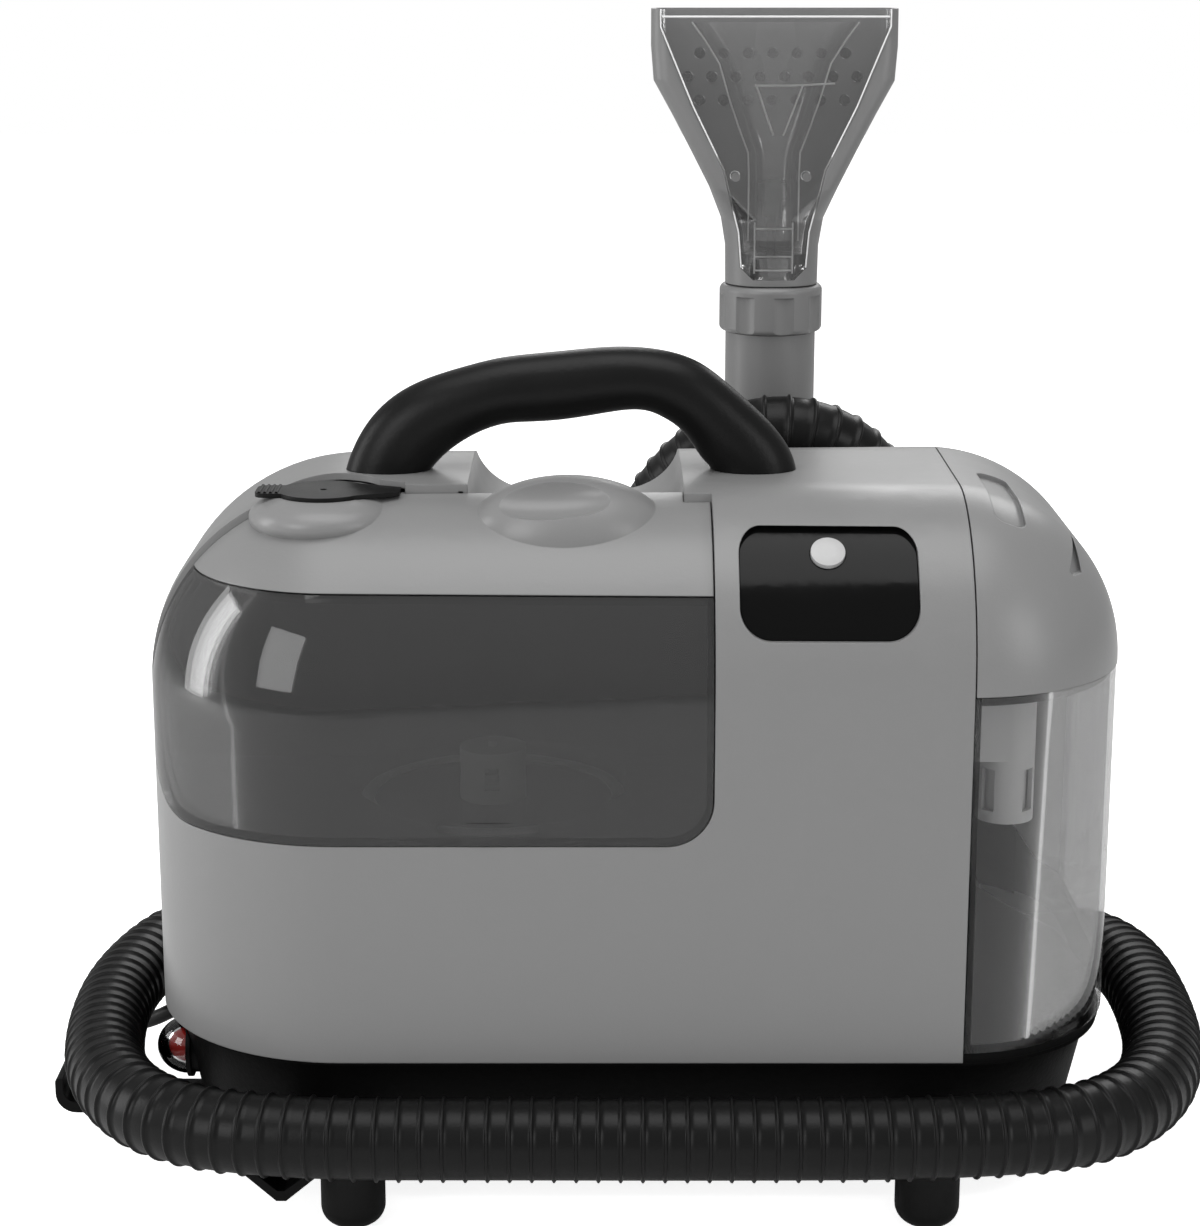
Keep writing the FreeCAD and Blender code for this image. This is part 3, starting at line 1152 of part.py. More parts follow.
save("cord_winder", winder)

# Cord hook: a finger that turns on the peg to let the coil slip off
hook = slab(rounded("xz", hook_x - 9, hook_x + 9, peg_z - 10, hook_high + 12, (9, 9, 7, 7)), "xz",
            coil_back_y + 1.5, coil_back_y + 5)
hook = hook.fuse(rod(3, V(hook_x, half_depth + 4.3, peg_z), V(hook_x, coil_back_y + 2, peg_z)))
save("cord_hook", hook)

# Power plug: a plain block with two round pins, held beside the coil by the clip arm
plug_body = Part.makeBox(20, 17, 42, V(-10, -8.5, 0))
plug_body = plug_body.makeFillet(3, plug_body.Edges)
pins = [Part.makeCylinder(2, 18, V(dx, 0, 41)) for dx in (-5.0, 5.0)]
relief = Part.makeCone(4.0, 6.0, relief_length + 1, V(0, 0, -relief_length))
power_plug = plug_body.fuse(pins + [relief]).removeSplitter()
power_plug.Placement = FreeCAD.Placement(plug_top, FreeCAD.Rotation(V(0, 0, 1), plug_axis))
save("power_plug", power_plug)

# ---- Air hose from the filter to the blower, and the feed tube from the tank's valve to the pump ----
air_route = [
    V(right_edge - 10.3, port_y, port_z), V(103, port_y, port_z), V(88, -58, port_z + 9),
    V(81, -34, port_z + 20), V(motor_x, -8, port_z + 20), V(motor_x + 0.5, motor_y, port_z + 6),
    V(motor_x, motor_y, blower_high_z + touch_gap),
]
air_hose = cord_tube("air_hose", air_route, air_hose_radius * 2)
save("air_hose", air_hose.cut(cord_tube("air_bore", air_route, air_hose_radius * 2 - 4)))
feed_route = [
    V(valve_x, valve_y, shelf_low - touch_gap), V(valve_x, valve_y, 136), V(valve_x - 1, valve_y + 22, 116),
    V(valve_x, 0, 108), V(pump_x + 2, 30, 118), V(pump_x + 1, 52, 130), V(pump_x, pump_y, pump_high_z + 12),
    V(pump_x, pump_y, pump_high_z + touch_gap),
]
save("feed_tube", cord_tube("feed_tube", feed_route, 8.0))
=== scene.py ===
import json
import math
import bpy
import bmesh
import numpy as np
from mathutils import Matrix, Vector


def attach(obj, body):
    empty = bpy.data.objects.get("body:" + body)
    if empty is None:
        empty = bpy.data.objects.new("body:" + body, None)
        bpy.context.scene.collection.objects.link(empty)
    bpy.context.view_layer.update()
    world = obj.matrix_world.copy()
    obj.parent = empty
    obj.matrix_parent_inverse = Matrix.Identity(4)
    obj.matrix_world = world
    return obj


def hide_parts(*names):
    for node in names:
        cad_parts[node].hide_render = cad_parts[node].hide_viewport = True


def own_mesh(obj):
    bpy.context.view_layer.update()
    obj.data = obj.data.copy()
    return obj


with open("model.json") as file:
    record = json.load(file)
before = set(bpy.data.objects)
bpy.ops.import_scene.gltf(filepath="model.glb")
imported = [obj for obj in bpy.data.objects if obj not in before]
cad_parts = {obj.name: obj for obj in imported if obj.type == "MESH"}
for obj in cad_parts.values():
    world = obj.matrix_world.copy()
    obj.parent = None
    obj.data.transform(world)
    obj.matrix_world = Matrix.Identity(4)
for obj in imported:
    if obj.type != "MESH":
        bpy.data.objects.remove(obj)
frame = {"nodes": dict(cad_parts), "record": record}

scene = bpy.context.scene
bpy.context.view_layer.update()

# ---- Base tray, hose rest, hose coupling and switch body ----
# Black polypropylene mouldings that carry the machine: a tapered tray with a tongue and two corner arms for
# the hose, the socket block under the rear with its cuff, elbow and latch, and the body of the rocker switch.
nodes = frame["nodes"]
owner = {name: body for body, names in frame["record"]["behaviour"]["bodies"].items() for name in names}


def srgb(text, alpha=1.0):
    """A six-digit sRGB colour as the linear values that a shader takes."""
    values = [int(text[i:i + 2], 16) / 255 for i in (0, 2, 4)]
    return tuple(v / 12.92 if v <= 0.04045 else ((v + 0.055) / 1.055) ** 2.4 for v in values) + (alpha,)


def node(tree, kind, links=(), **values):
    """Add one shader node; values go to its properties or sockets, links join (output socket, input name)."""
    made = tree.nodes.new("ShaderNode" + kind)
    for name, value in values.items():
        if hasattr(made, name) and name not in made.inputs:
            setattr(made, name, value)
        else:
            made.inputs[name.replace("_", " ")].default_value = value
    for source, name in links:
        tree.links.new(source, made.inputs[name])
    return made


def new_tree(name):
    """A new material and its empty node tree: (material, tree)."""
    material = bpy.data.materials.new(name)
    material.use_nodes = True
    material.node_tree.nodes.clear()
    return material, material.node_tree


def moulded(name, colour, roughness=0.42, grain=0.25, bump=0.03, edge=0.6, variation=0.05, coat=0.0, shine=0.5):
    """Injection-moulded plastic or rubber: grain and edge radius in mm, slightly cloudy in colour and gloss.

    The colour is multiplied by a soft noise between 1 - variation and 1 + variation, the same noise moves
    the roughness by 0.06, and a fine noise of the tool's grain drives the bump on rounded edges.
    """
    material, tree = new_tree(name)
    place = node(tree, "TexCoord").outputs["Object"]
    cloud = node(tree, "TexNoise", [(place, "Vector")], Scale=38.0, Detail=3.0, Roughness=0.6).outputs["Fac"]
    fine = node(tree, "TexNoise", [(place, "Vector")], Scale=1000.0 / (grain * 4), Detail=2.0, Roughness=0.7)
    shade = node(tree, "MapRange", [(cloud, "Value")], To_Min=1.0 - variation, To_Max=1.0 + variation)
    tint = node(tree, "VectorMath", [(shade.outputs["Result"], 1)], operation="MULTIPLY")
    tint.inputs[0].default_value = srgb(colour)[:3]
    rough = node(tree, "MapRange", [(cloud, "Value")], To_Min=roughness - 0.06, To_Max=roughness + 0.06)
    soft = node(tree, "Bevel", samples=4, Radius=edge / 1000)
    relief = node(tree, "Bump", [(fine.outputs["Fac"], "Height"), (soft.outputs["Normal"], "Normal")],
                  Strength=bump * 10, Distance=grain / 1000)
    surface = [(tint.outputs[0], "Base Color"), (rough.outputs[0], "Roughness"), (relief.outputs[0], "Normal")]
    shader = node(tree, "BsdfPrincipled", surface, IOR=1.48, Specular_IOR_Level=shine, Coat_Weight=coat,
                  Coat_Roughness=0.08)
    node(tree, "OutputMaterial", [(shader.outputs[0], "Surface")])
    return material


def moulding(name, material, sharp=28.0):
    """A CAD node's surface as one smooth-shaded skin, creased where faces meet at more than sharp degrees."""
    mesh = nodes[name].data.copy()
    mesh.materials.clear()
    mesh.materials.append(material)
    work = bmesh.new()
    work.from_mesh(mesh)
    bmesh.ops.remove_doubles(work, verts=work.verts, dist=2e-6)
    for face in work.faces:
        face.smooth = True
    limit = math.radians(sharp)
    for edge in work.edges:
        edge.smooth = len(edge.link_faces) == 2 and edge.calc_face_angle(0.0) < limit
    work.to_mesh(mesh)
    work.free()
    skin = bpy.data.objects.new("skin_" + name, mesh)
    scene.collection.objects.link(skin)
    weighted = skin.modifiers.new("flat faces lead", "WEIGHTED_NORMAL")
    weighted.keep_sharp = True
    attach(skin, owner[name])
    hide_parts(name)
    return skin


# Polypropylene from a spark-eroded tool: near black, and only faintly shiny
black = moulded("black polypropylene", "080808", roughness=0.46, grain=0.5, bump=0.03, variation=0.1, shine=0.12)
for name in ("base_tray", "hose_rest", "hose_socket", "hose_cuff", "hose_elbow", "socket_latch", "switch_body"):
    moulding(name, black)

# ---- Feet, seals, fill plug, motor mount and air hose ----
# Soft black rubber pieces, pressed or stretched into their seats: four round feet, the lid's and the cap's
# seals, the folding fill plug, and the sleeve and hose round the vacuum unit.
# Rubber gives the eye a soft dark surface with broad, weak highlights
rubber = moulded("black rubber", "0C0C0C", roughness=0.5, grain=0.3, edge=0.4, variation=0.1, shine=0.2)
for name in ("feet", "fill_plug", "lid_seal", "recovery_seal", "motor_mount", "air_hose"):
    moulding(name, rubber)

# ---- Vacuum unit, pump and inner ducts ----
# Hidden in the body: dark glass-filled mouldings for the blower, its fan, the pump, the button's switch, the
# dirty water duct and the spray jet, and an open-cell foam filter.
dark = moulded("dark insert", "101010", roughness=0.4, grain=0.3, bump=0.02, edge=0.4, shine=0.2)
for name in ("dirty_water_duct", "blower_housing", "impeller", "water_pump", "button_switch", "spray_jet"):
    moulding(name, dark)
# Foam gives a rough, spotted dark grey; its cells are drawn 5 mm wide so that they show
foam = moulded("filter foam", "303030", roughness=0.9, grain=1.2, bump=0.3, edge=0.3, variation=0.3)
moulding("air_filter", foam)

# ---- Screws, springs, motor and shaft ----
# Turned or wound steel, zinc-plated and tumbled: bright, with a fine unevenness in its gloss.
# The valve's spring and the release bar's spring, 12 mm long, each get a mesh of their own; their joints and fixed
# ends are listed but not used, so nothing here squashes them.
steel, tree = new_tree("zinc-plated steel")
place = node(tree, "TexCoord").outputs["Object"]
grit = node(tree, "TexNoise", [(place, "Vector")], Scale=900.0, Detail=2.0)
gloss = node(tree, "MapRange", [(grit.outputs["Fac"], "Value")], To_Min=0.25, To_Max=0.45)
plating = node(tree, "BsdfPrincipled", [(gloss.outputs[0], "Roughness")], Metallic=1.0, Base_Color=srgb("B8B8B8"))
node(tree, "OutputMaterial", [(plating.outputs[0], "Surface")])
for name in ("handle_screws", "nozzle_screws", "button_spring", "trigger_spring", "motor_shaft", "vacuum_motor"):
    moulding(name, steel)
valve_spring_top = (-0.060, -0.051, 0.1888)
bar_spring_foot = (-0.025, -0.025, 0.2721)
for name, joint, fixed_end in (("valve_spring", "valve_lift", valve_spring_top),
                               ("bar_spring", "bar_press", bar_spring_foot)):
    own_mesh(moulding(name, steel))

# ---- Main shell, tank lid, recovery cap, winder, clip and release bar ----
# The domed body and its grey parts, moulded in ABS and screwed or snapped to the base tray.
# ABS with a satin tool finish gives an even mid grey with soft, wide highlights.
shell_grey = moulded("grey ABS shell", "808080", roughness=0.34, grain=0.35, bump=0.012, edge=0.7, variation=0.015)
for name in ("main_shell", "tank_lid", "recovery_cap", "cord_winder", "cord_hook", "wand_clip", "release_bar"):
    moulding(name, shell_grey)

# ---- Carrying handle ----
# A thick arched grip of satin black ABS, fixed to the shell with four screws from inside.
grip = moulded("satin black grip", "0E0E0E", roughness=0.38, grain=0.35, bump=0.02, edge=0.8, variation=0.08,
               shine=0.2)
moulding("handle", grip, sharp=40.0)

# ---- Control panel and push button ----
# A polished black panel, moulded with rounded corners and set into the front, round one pale push button.
panel_black = moulded("polished black panel", "080808", roughness=0.14, grain=0.2, bump=0.0, edge=0.5,
                      variation=0.02, shine=0.16)
moulding("control_panel", panel_black)
button_grey = moulded("silver-grey button", "B4B4B4", roughness=0.35, grain=0.2, bump=0.01, edge=0.4,
                      variation=0.02)
moulding("push_button", button_grey)

# ---- Rocker switch under its clear boot ----
# A glossy red rocker low on the left end, kept dry by a thin clear dome.


def clear_plastic(name, tint, edge_tint, shine=1.0, haze=0.0, haze_colour="FFFFFF", frost=0.0, ripple_mm=0.12):
    """A clear wall: tint passes straight through, edge_tint at a glancing angle.

    Haze is the share of light that the wall scatters in its own colour; behind frost_starts that share is
    frost where frost is greater. The gloss on top is Fresnel's share times shine, rippled by ripple_mm.
    """
    frost_starts = 0.05
    material, tree = new_tree(name)
    place = node(tree, "TexCoord").outputs["Object"]
    ripple = node(tree, "TexNoise", [(place, "Vector")], Scale=16.0, Detail=1.0)
    relief = node(tree, "Bump", [(ripple.outputs["Fac"], "Height")], Strength=1.0, Distance=ripple_mm / 1000)
    normal = (relief.outputs[0], "Normal")
    facing = node(tree, "LayerWeight", [normal], Blend=0.25)
    through = node(tree, "MixRGB", [(facing.outputs["Facing"], "Fac")], Color1=srgb(tint), Color2=srgb(edge_tint))
    clear = node(tree, "BsdfTransparent", [(through.outputs[0], "Color")])
    scatter = node(tree, "BsdfDiffuse", Color=srgb(haze_colour))
    depth = node(tree, "SeparateXYZ", [(place, "Vector")])
    rear = node(tree, "Math", [(depth.outputs["Y"], 0)], operation="GREATER_THAN")
    rear.inputs[1].default_value = frost_starts
    cloud = node(tree, "MapRange", [(rear.outputs[0], "Value")], To_Min=haze, To_Max=max(haze, frost))
    cloudy = node(tree, "MixShader", [(cloud.outputs[0], "Fac"), (clear.outputs[0], 1), (scatter.outputs[0], 2)])
    mirror = node(tree, "BsdfGlossy", [normal], Color=srgb("FFFFFF"), Roughness=0.03)
    fresnel = node(tree, "Fresnel", [normal], IOR=1.5)
    amount = node(tree, "Math", [(fresnel.outputs[0], 0)], operation="MULTIPLY")
    amount.inputs[1].default_value = shine
    wall = node(tree, "MixShader", [(amount.outputs[0], "Fac"), (cloudy.outputs[0], 1), (mirror.outputs[0], 2)])
    node(tree, "OutputMaterial", [(wall.outputs[0], "Surface")])
    return material


rocker_red = moulded("red rocker", "B8302A", roughness=0.22, grain=0.2, bump=0.01, edge=0.5, variation=0.03,
                     coat=0.3)
moulding("rocker", rocker_red)
boot_clear = clear_plastic("clear boot", "F6F6F6", "D8D8D8")
for name in ("switch_boot", "feed_tube"):
    moulding(name, boot_clear)

# ---- Clean tank with its valve ----
# A blow-moulded SAN tank tinted smoke grey, so its inside shows dimly, with an uncoloured valve in the middle
# of a wide ring that is moulded into its floor.
natural = moulded("natural polypropylene", "A8A8A8", roughness=0.4, grain=0.3, bump=0.01, edge=0.4)
smoked = clear_plastic("smoked SAN tank", "D4D4D4", "9C9C9C", shine=0.7, haze=0.20, haze_colour="6A6A6A",
                       ripple_mm=0.24)
moulding("clean_tank", smoked)
for name in ("valve_cage", "valve_poppet"):
    moulding(name, natural)


def grid_faces(rows, columns, closed):
    """Quads of a grid of points, row after row; in a closed grid the last column joins the first."""
    row, column = np.mgrid[0:rows - 1, 0:columns if closed else columns - 1]
    here = row * columns + column
    beside = row * columns + (column + 1) % columns
    return np.stack([here, beside, beside + columns, here + columns], axis=-1).reshape(-1, 4).tolist()


def mesh_object(name, points, faces, material, body):
    """A new smooth piece from an array of points in metres and lists of face indices, riding on a body."""
    mesh = bpy.data.meshes.new(name)
    mesh.from_pydata(np.asarray(points, float).tolist(), [], faces)
    mesh.materials.append(material)
    mesh.polygons.foreach_set("use_smooth", [True] * len(mesh.polygons))
    mesh.update()
    piece = bpy.data.objects.new(name, mesh)
    scene.collection.objects.link(piece)
    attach(piece, body)
    return piece


# The ring's profile (inset, rise in mm) is carried round an ellipse about the valve
ring_inset = np.array([0.0, -1.4, -3.0, -4.6, -6.0])[:, None]
ring_rise = np.array([0.0, 1.6, 2.2, 1.6, 0.0])[:, None]
ring_turn = np.linspace(0, 2 * np.pi, 97)[None, :-1]
ring_points = np.stack([-60 + (56 + ring_inset) * np.cos(ring_turn), -50.5 + (55 + ring_inset) * np.sin(ring_turn),
                        169.2 + ring_rise + 0 * ring_turn], axis=-1).reshape(-1, 3) / 1000
mesh_object("tank_floor_ring", ring_points, grid_faces(5, 96, True), natural, "clean_tank")

# ---- Recovery tank with its catch wall, insert and float ----
# A clear SAN tank with a frosted rear wall and a dark catch wall low inside; the insert that guides the water
# and the float in its cage are uncoloured polypropylene.
clear = clear_plastic("clear SAN tank", "FCFCFC", "D0D0D0", shine=0.7, haze_colour="C4C4C4", frost=0.85)
moulding("recovery_tank", clear)
moulding("catch_wall", dark)
for name in ("float", "tank_insert"):
    moulding(name, natural)

# ---- Suction hose ----
# A black EVA hose with a ring rib every 9 mm: from its coupling once round the base, up the rear, over the
# shoulder and down into the wand's cuff. Its line is a soft spline through these points in mm.
hose_route = [
    (158.3, 125, 36), (186, 125, 36), (209, 117, 40), (227, 96, 45), (236.5, 60, 48), (238, 14, 48),
    (233.5, -40, 48), (218.5, -88, 48), (184, -121, 48), (126, -131, 48), (36, -132, 48), (-56, -131.5, 48),
    (-136, -131.5, 48), (-194, -117, 48), (-226, -74, 48), (-236.5, -16, 48), (-236.8, 42, 48), (-221, 100, 48),
    (-184, 137, 48),
    (-132, 144, 50), (-88, 144, 62), (-56, 143, 92), (-34, 142, 134), (-17, 140, 180), (-2, 136, 224),
    (15, 127, 262), (39, 114, 289), (71, 107, 299), (103, 112, 288), (124, 124, 258), (138, 138, 216),
    (146, 146, 172), (150, 152, 130), (152, 159, 90), (152, 166, 50), (130, 168.5, 18.4), (90, 168.5, 18.4),
    (67, 165, 44), (67, 152, 71), (67, 152, 91.7),
]


def nurbs_curve(name, route_mm, bevel=0.0):
    """A smooth open spline with the route's points as its control points."""
    data = bpy.data.curves.new(name, "CURVE")
    data.dimensions = "3D"
    data.resolution_u = 16
    spline = data.splines.new("NURBS")
    spline.points.add(len(route_mm) - 1)
    for point, (x, y, z) in zip(spline.points, route_mm):
        point.co = (x / 1000, y / 1000, z / 1000, 1.0)
    spline.order_u = 3
    spline.use_endpoint_u = True
    data.bevel_depth = bevel
    data.bevel_resolution = 5
    return bpy.data.objects.new(name, data)


def spline_points(curve):
    """The points of a curve object with no bevel, in order, in metres."""
    mesh = bpy.data.meshes.new_from_object(curve)
    points = np.array([v.co[:] for v in mesh.vertices])
    bpy.data.meshes.remove(mesh)
    return points


def along(points, pitch, steps):
    """Places along a line of points, in groups at these steps of one pitch: (places, directions).

    Places are read by distance along the line, and directions from 2 mm behind to 2 mm ahead of each.
    """
    gaps = np.linalg.norm(np.diff(points, axis=0), axis=1)
    run = np.concatenate([[0], np.cumsum(gaps)])
    distance = (np.arange(int(run[-1] / pitch))[:, None] * pitch + np.asarray(steps)[None]).ravel()
    distance = np.append(distance, run[-1])
    behind, places, ahead = (
        np.stack([np.interp(distance + shift, run, points[:, axis]) for axis in range(3)], axis=1)
        for shift in (-0.002, 0.0, 0.002))
    heading = ahead - behind
    return places, heading / np.linalg.norm(heading, axis=1)[:, None]


def swept(places, heading, radii, sides):
    """A tube with open ends: a ring of the given radius at each place, square to its heading, without twist."""
    side = np.cross(heading[0], [0.0, 0.0, 1.0])
    sideways = []
    for ahead in heading:
        side = side - ahead * side.dot(ahead)
        side = side / np.linalg.norm(side)
        sideways.append(side)
    sideways = np.array(sideways)[:, None]
    upward = np.cross(heading, sideways[:, 0])[:, None]
    turns = np.linspace(0, 2 * np.pi, sides, endpoint=False)[None, :, None]
    outward = np.cos(turns) * sideways + np.sin(turns) * upward
    rings = places[:, None] + np.asarray(radii)[:, None, None] * outward
    return rings.reshape(-1, 3), grid_faces(len(places), sides, True)


rib_steps = np.array([0.0, 2.2, 4.4, 6.6, 6.9, 7.2, 7.6, 8.0, 8.3, 8.6]) / 1000
rib_height = np.array([0.0, 0.0, 0.0, 0.0, 0.45, 0.95, 1.1, 0.95, 0.45, 0.0]) / 1000
rib_pitch = 0.009
hose_wall_radius = 0.01635
# EVA gives a deep black with narrow glints on each rib
hose_black = moulded("ribbed EVA hose", "0F0F0F", roughness=0.34, grain=0.3, bump=0.02, edge=0.2, variation=0.12,
                     shine=0.2)
hose_points = spline_points(nurbs_curve("hose_line", hose_route))
hose_places, hose_heading = along(hose_points, rib_pitch, rib_steps)
rib_count = len(hose_places) // len(rib_steps)
hose_radii = hose_wall_radius + np.append(np.tile(rib_height, rib_count), 0.0)
points, faces = swept(hose_places, hose_heading, hose_radii, 40)
hose = mesh_object("hose_ribbed", points, faces, hose_black, "body")
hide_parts("hose")

# ---- Power cord ----
# A 7 mm PVC mains lead: from its gland round on the floor, up the rear to the winder, twice round it, once
# crossed, and out of the top to its plug. The turns are arcs about the winder's upper and lower middle.
coil_x, coil_top, coil_bottom = -106.0, 228.0, 127.0
cross_top, cross_bottom = coil_top - 2, coil_bottom + 3


def turn_points(radius, depth, level, first, last):
    """Control points of an arc round the winder, in degrees, with one more at each end on its straights.

    The points are the corners of a polygon outside the arc, so that the spline touches the arc at the middle
    of each side; the first and last sides run on into the straights by half a side.
    """
    corners = max(5, round(abs(last - first) / 30))
    step = math.radians(last - first) / corners
    reach = radius / math.cos(step / 2)
    half_side = radius * math.tan(step / 2)
    angles = math.radians(first) + step * (np.arange(corners) + 0.5)
    arc_x, arc_z = reach * np.cos(angles), reach * np.sin(angles)
    ends, ways = np.radians([first, last]), np.array([-1, 1])
    lead_x = radius * np.cos(ends) - ways * half_side * np.sin(ends)
    lead_z = radius * np.sin(ends) + ways * half_side * np.cos(ends)
    across = np.concatenate([lead_x[:1], arc_x, lead_x[1:]]) + coil_x
    height = np.concatenate([lead_z[:1], arc_z, lead_z[1:]]) + level
    return [(x, depth, z) for x, z in zip(across.tolist(), height.tolist())]


cord_route = [
    (-197.3, 50.1, 35.9), (-212.0, 52.9, 31.4), (-230, 62, 19), (-247, 80, 10), (-258, 108, 5), (-256, 138, 4),
    (-238, 162, 4), (-208, 177, 4), (-172, 181, 4), (-138, 175, 4.5), (-110, 160, 8), (-92, 141, 20),
    (-81, 127, 42), (-74, 119, 68), (-70.5, 117, 98), (-70, 117, 140),
]
for radius, depth in ((36.0, 117.0), (28.9, 117.6)):
    cord_route += turn_points(radius, depth, coil_top, 0, 180)
    cord_route += turn_points(radius, depth, coil_bottom, 180, 360)
cord_route += [(-76.5, 121, 158), (-76.5, 124.6, 190)]
# The crossed turn: down over the middle, round the bottom the other way, and up over itself
cord_route += turn_points(29.5, 125.0, cross_top, 0, 218)
cord_route += turn_points(29.5, 125.0, cross_bottom, 38, -222)
cord_route += [(-117, 128.8, 163), (-106, 134, 175.5), (-95, 128.8, 188)]
cord_route += turn_points(36.8, 125.0, coil_top, -42, 60)
cord_route += [(-105, 125, 265), (-121, 126.5, 262), (-134, 132, 252), (-142, 140.5, 236), (-147.7, 141, 219.5)]
cord_radius = 0.0035
# PVC gives a dull black sheath
cord_black = moulded("PVC cord sheath", "0E0E0E", grain=0.2, bump=0.02, edge=0.2, variation=0.1, shine=0.25)
cord_points = spline_points(nurbs_curve("cord_measure", cord_route))
cord = nurbs_curve("power_cord_line", cord_route, bevel=cord_radius)
cord.data.materials.append(cord_black)
scene.collection.objects.link(cord)
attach(cord, "body")
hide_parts("power_cord", "cord_coil")

# ---- Cord gland and plug ----
# The gland is a tapered rubber strain relief, 24 mm long, with grooves every 4.2 mm and a flange against the
# base; the plug is moulded in PVC round two flat pins.
relief_axis = np.array([-0.94, 0.18, -0.29]) / np.linalg.norm([-0.94, 0.18, -0.29])
relief_root = np.array([-0.197, 0.050, 0.036]) - relief_axis * 0.014
relief_distance = np.linspace(-0.004, 0.030, 60)
relief_places = relief_root + relief_distance[:, None] * relief_axis
taper = np.clip((relief_distance - 0.006) / 0.024, 0, 1)
groove_pitch = 0.0042
in_groove = np.abs((relief_distance / groove_pitch) % 1.0 - 0.5) < 0.2
relief_radii = 0.0064 - 0.0019 * taper - 0.0007 * in_groove * (taper > 0.05) * (taper < 0.95)
relief_radii = np.where((relief_distance > 0.0038) & (relief_distance < 0.0075), 0.0092, relief_radii)
relief_radii[[0, -1]] = 0.0034
points, faces = swept(relief_places, np.repeat(relief_axis[None], 60, axis=0), relief_radii, 32)
gland = mesh_object("cord_relief", points, faces, rubber, "body")
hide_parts("cord_gland")
plug_black = moulded("plug PVC", "121212", roughness=0.38, grain=0.3, shine=0.3)
plug_skin = moulding("power_plug", plug_black)

# ---- Hand wand ----
# Mid-grey ABS: the tube with its cuff and trigger, the scalloped collar that locks the nozzle, and the
# nozzle's back, all with a satin tool finish.
wand_grey = moulded("mid-grey ABS wand", "767676", roughness=0.40, grain=0.35, bump=0.015, variation=0.02)
for name in ("wand_tube", "wand_cuff", "collar", "trigger", "nozzle_back"):
    moulding(name, wand_grey)
# Nylon bristles, cut in tufts: matt, with a streaky bump
bristle = moulded("nylon bristles", "141414", roughness=0.5, bump=0.3, edge=0.2, variation=0.2)
moulding("brush_tufts", bristle)

# ---- Clear nozzle front, the folds inside it and their painted highlights ----
# One clear moulding, welded to the grey back. Inside it a crowned channel runs from the neck to the mouth, and
# thin pale beads, painted highlights, line the folds, the mouth and the outline of a spray fan in its middle. All
# in mm.
nozzle_clear = clear_plastic("clear nozzle", "F8F8F8", "B8B8B8", shine=2.2, haze=0.045, haze_colour="B8B8B8",
                             ripple_mm=2.4)
moulding("nozzle_front", nozzle_clear)
nozzle_x, nozzle_y = 67.0, 152.0

# The channel: at each level an arch of this half width, from its back forwards to its front
duct_levels = np.array([382, 398, 412, 423, 435, 447, 464, 475, 483.0])
duct_widths = np.array([11.8, 11.8, 11.8, 12.2, 16.8, 21.0, 26.0, 33.0, 39.0])
duct_fronts = np.array([-14.4, -13.8, -13.0, -12.2, -11.0, -9.8, -8.2, -7.4, -6.8])
duct_back, duct_columns = 5.0, 33
arch = np.linspace(-math.pi / 2, math.pi / 2, duct_columns)[None]
arch_depth = np.sqrt(np.clip(np.cos(arch), 0, 1))
duct_x = nozzle_x + duct_widths[:, None] * np.sin(arch)
duct_y = nozzle_y + duct_back + (duct_fronts[:, None] - duct_back) * arch_depth
duct_z = duct_levels[:, None] + 0 * arch
duct_points = np.stack([duct_x, duct_y, duct_z], axis=-1).reshape(-1, 3) / 1000
duct_clear = clear_plastic("clear inner duct", "F4F4F4", "D0D0D0", shine=3.0, haze=0.20, haze_colour="D8D8D8",
                           ripple_mm=3.0)
mesh_object("nozzle_duct", duct_points, grid_faces(len(duct_levels), duct_columns, False), duct_clear, "nozzle")

# The painted highlight beads, pale tubes where the clear moulding shows bright lines, as (x, y, z) from the
# nozzle's
# middle: the edges of the front, the channel's and the neck's in pairs, then the mouth's rim, the spray fan's two
# sides and top, and three rungs in the neck
# Near-white opaque tubes: painted highlights along the clear nozzle's edges and folds
highlight_bead_paint = moulded("painted highlight bead", "E4E4E4", roughness=0.08, grain=0.2, bump=0.0, edge=0.1, variation=0.1,
                     shine=1.0)
edge_line = [(53.6, -9.2, 489), (53.6, -9.5, 481), (44.8, -11.3, 460), (38.2, -13.5, 444.4), (31.0, -15.3, 430),
             (23.7, -16.3, 415.4), (20.0, -16.7, 400), (16.6, -16.9, 386.5), (15.2, -17.6, 370)]
channel_line = np.stack([duct_widths, (duct_fronts - 9.0) / 2, duct_levels], axis=1)
neck_line = [(8.9, -16.6, 367), (8.9, -16.4, 378), (8.9, -16.0, 391)]
highlight_bead_lines = [(np.array(line) * [way, 1, 1], radius) for line, radius in
              ((edge_line, 0.4), (channel_line, 0.45), (neck_line, 0.45)) for way in (1, -1)]
highlight_bead_lines += [([(-53.0, -9.9, 485.5), (0, -9.9, 485.5), (53.0, -9.9, 485.5)], 0.5),
               ([(-8.6, -10.3, 454), (-4.5, -11.2, 442), (-0.5, -12.0, 431)], 0.5),
               ([(12.9, -10.3, 454), (8.4, -11.2, 442), (4.0, -12.0, 431)], 0.5),
               ([(-9.5, -10.3, 454), (9.0, -10.3, 454), (28.0, -10.0, 455)], 0.55),
               ([(-8.9, -16.1, 388), (0, -16.3, 388), (8.9, -16.1, 388)], 0.5),
               ([(-8.9, -16.6, 375), (0, -16.8, 375), (8.9, -16.6, 375)], 0.45),
               ([(-8.9, -16.8, 368.5), (0, -17.0, 368.5), (8.9, -16.8, 368.5)], 0.5)]
for index, (line, radius) in enumerate(highlight_bead_lines):
    places = (np.array(line) + [nozzle_x, nozzle_y, 0.0]) / 1000
    heading = np.gradient(places, axis=0)
    heading /= np.linalg.norm(heading, axis=1)[:, None]
    points, faces = swept(places, heading, np.full(len(places), radius / 1000), 8)
    mesh_object("nozzle_bead_%d" % index, points, faces, highlight_bead_paint, "nozzle")

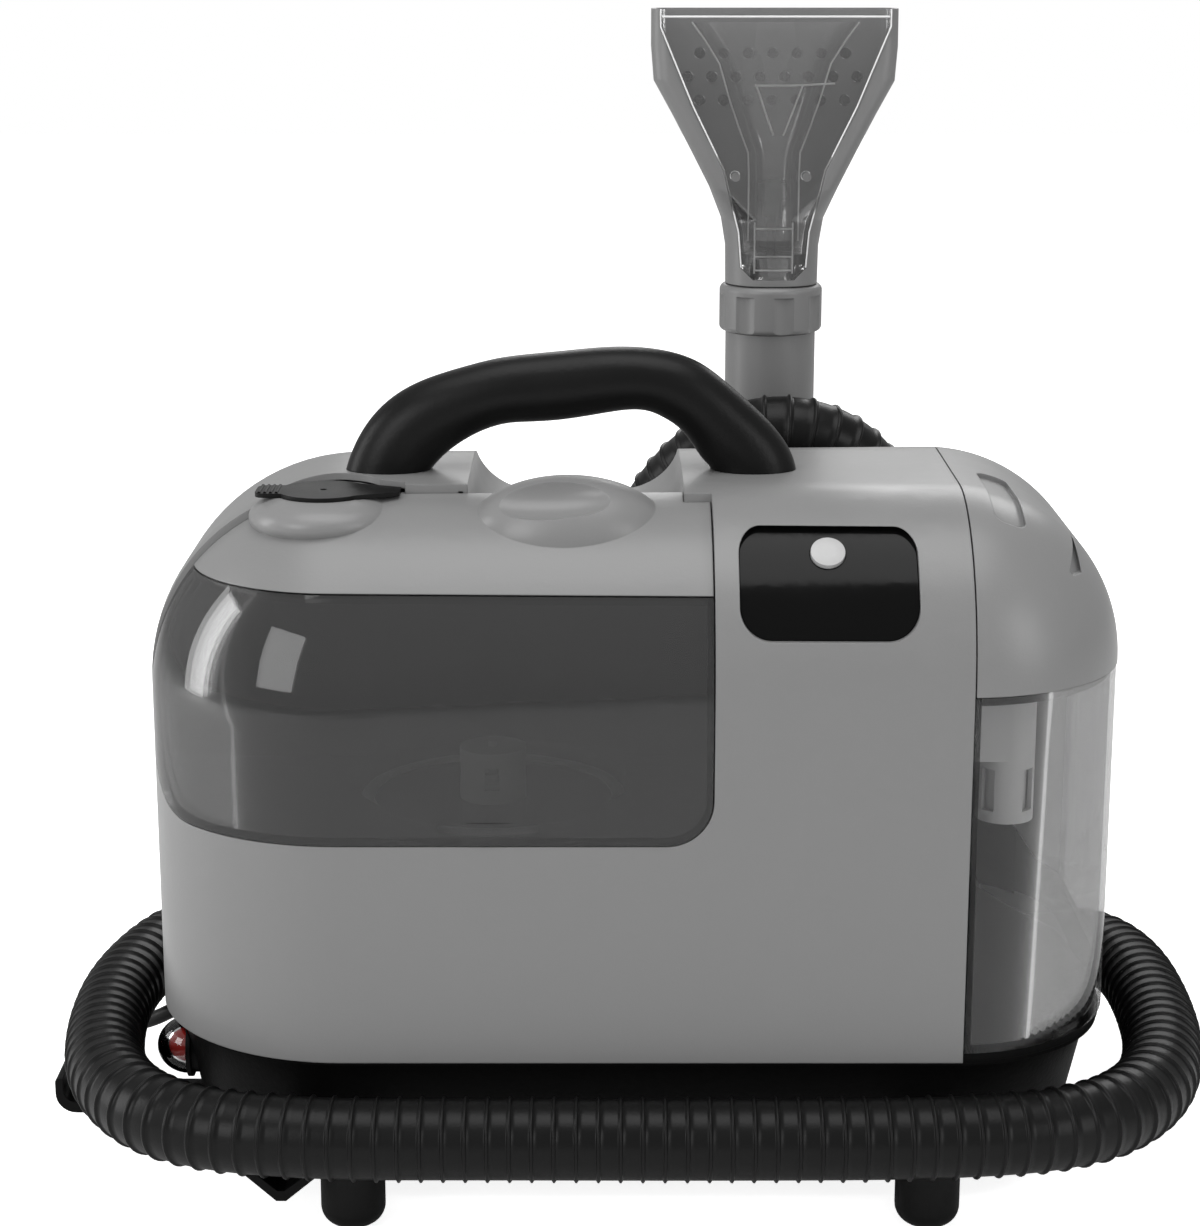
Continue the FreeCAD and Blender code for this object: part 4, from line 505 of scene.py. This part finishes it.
# ---- Floor, world and lamps ----
# A pale floor and surroundings that read white to the camera and keep the machine's soft shadow, under wide
# soft lamps; the strength the camera sees doesn't light the machine.
floor_material, tree = new_tree("pale floor")
place = node(tree, "TexCoord").outputs["Object"]
paper = node(tree, "TexNoise", [(place, "Vector")], Scale=6.0, Detail=2.0)
tone = node(tree, "MapRange", [(paper.outputs["Fac"], "Value")], To_Min=0.86, To_Max=0.88)
sheet = node(tree, "BsdfDiffuse", [(tone.outputs[0], "Color")])
path = node(tree, "LightPath")
seen = node(tree, "Math", [(path.outputs["Is Camera Ray"], 0), (path.outputs["Is Transmission Ray"], 1)],
            operation="MAXIMUM")
lift = node(tree, "Math", [(seen.outputs[0], 0)], operation="MULTIPLY")
lift.inputs[1].default_value = 0.85
glow = node(tree, "Emission", [(lift.outputs[0], "Strength")])
bright = node(tree, "AddShader", [(sheet.outputs[0], 0), (glow.outputs[0], 1)])
node(tree, "OutputMaterial", [(bright.outputs[0], "Surface")])
floor_data = bpy.data.meshes.new("floor")
floor_data.from_pydata([(-6, -6, 0), (6, -6, 0), (6, 6, 0), (-6, 6, 0)], [], [(0, 1, 2, 3)])
floor_data.materials.append(floor_material)
floor = bpy.data.objects.new("floor", floor_data)
scene.collection.objects.link(floor)

world = bpy.data.worlds.new("studio")
scene.world = world
world.use_nodes = True
tree = world.node_tree
tree.nodes.clear()
to_camera = node(tree, "LightPath").outputs["Is Camera Ray"]
soft_light = node(tree, "Background", Color=srgb("FFFFFF"), Strength=0.42)
white = node(tree, "Background", Color=srgb("FFFFFF"), Strength=1.0)
surroundings = node(tree, "MixShader", [(to_camera, "Fac"), (soft_light.outputs[0], 1), (white.outputs[0], 2)])
node(tree, "OutputWorld", [(surroundings.outputs[0], "Surface")])


def softbox(name, place, target, width, height, power):
    """A rectangular studio lamp that faces a point."""
    data = bpy.data.lights.new(name, "AREA")
    data.shape = "RECTANGLE"
    data.size, data.size_y = width, height
    data.energy = power
    lamp = bpy.data.objects.new(name, data)
    lamp.location = place
    lamp.rotation_euler = (Vector(target) - Vector(place)).to_track_quat("-Z", "Y").to_euler()
    scene.collection.objects.link(lamp)


softbox("overhead", (0.0, -0.3, 1.9), (0, 0, 0.2), 1.6, 1.2, 17.0)
softbox("front left", (-1.5, -1.7, 1.1), (0, 0, 0.2), 0.9, 1.3, 16.0)
softbox("front right", (1.7, -1.4, 0.9), (0, 0, 0.2), 0.7, 1.2, 9.0)
softbox("rear rim", (0.4, 1.8, 1.3), (0, 0, 0.3), 1.6, 0.8, 12.0)
softbox("left strip", (-1.7, 0.1, 0.6), (0, 0, 0.2), 0.5, 1.2, 9.0)

# ---- Camera ----
# Square to the front, a little above the machine and tilted down 14 degrees
camera_data = bpy.data.cameras.new("camera")
camera_data.lens = 80.53
camera_data.sensor_width = 36.0
camera = bpy.data.objects.new("camera", camera_data)
camera.location = (-0.0148, -1.1607, 0.5272)
camera.rotation_euler = (math.radians(75.9), 0, 0)
scene.collection.objects.link(camera)
scene.camera = camera

scene.view_settings.view_transform = "Standard"
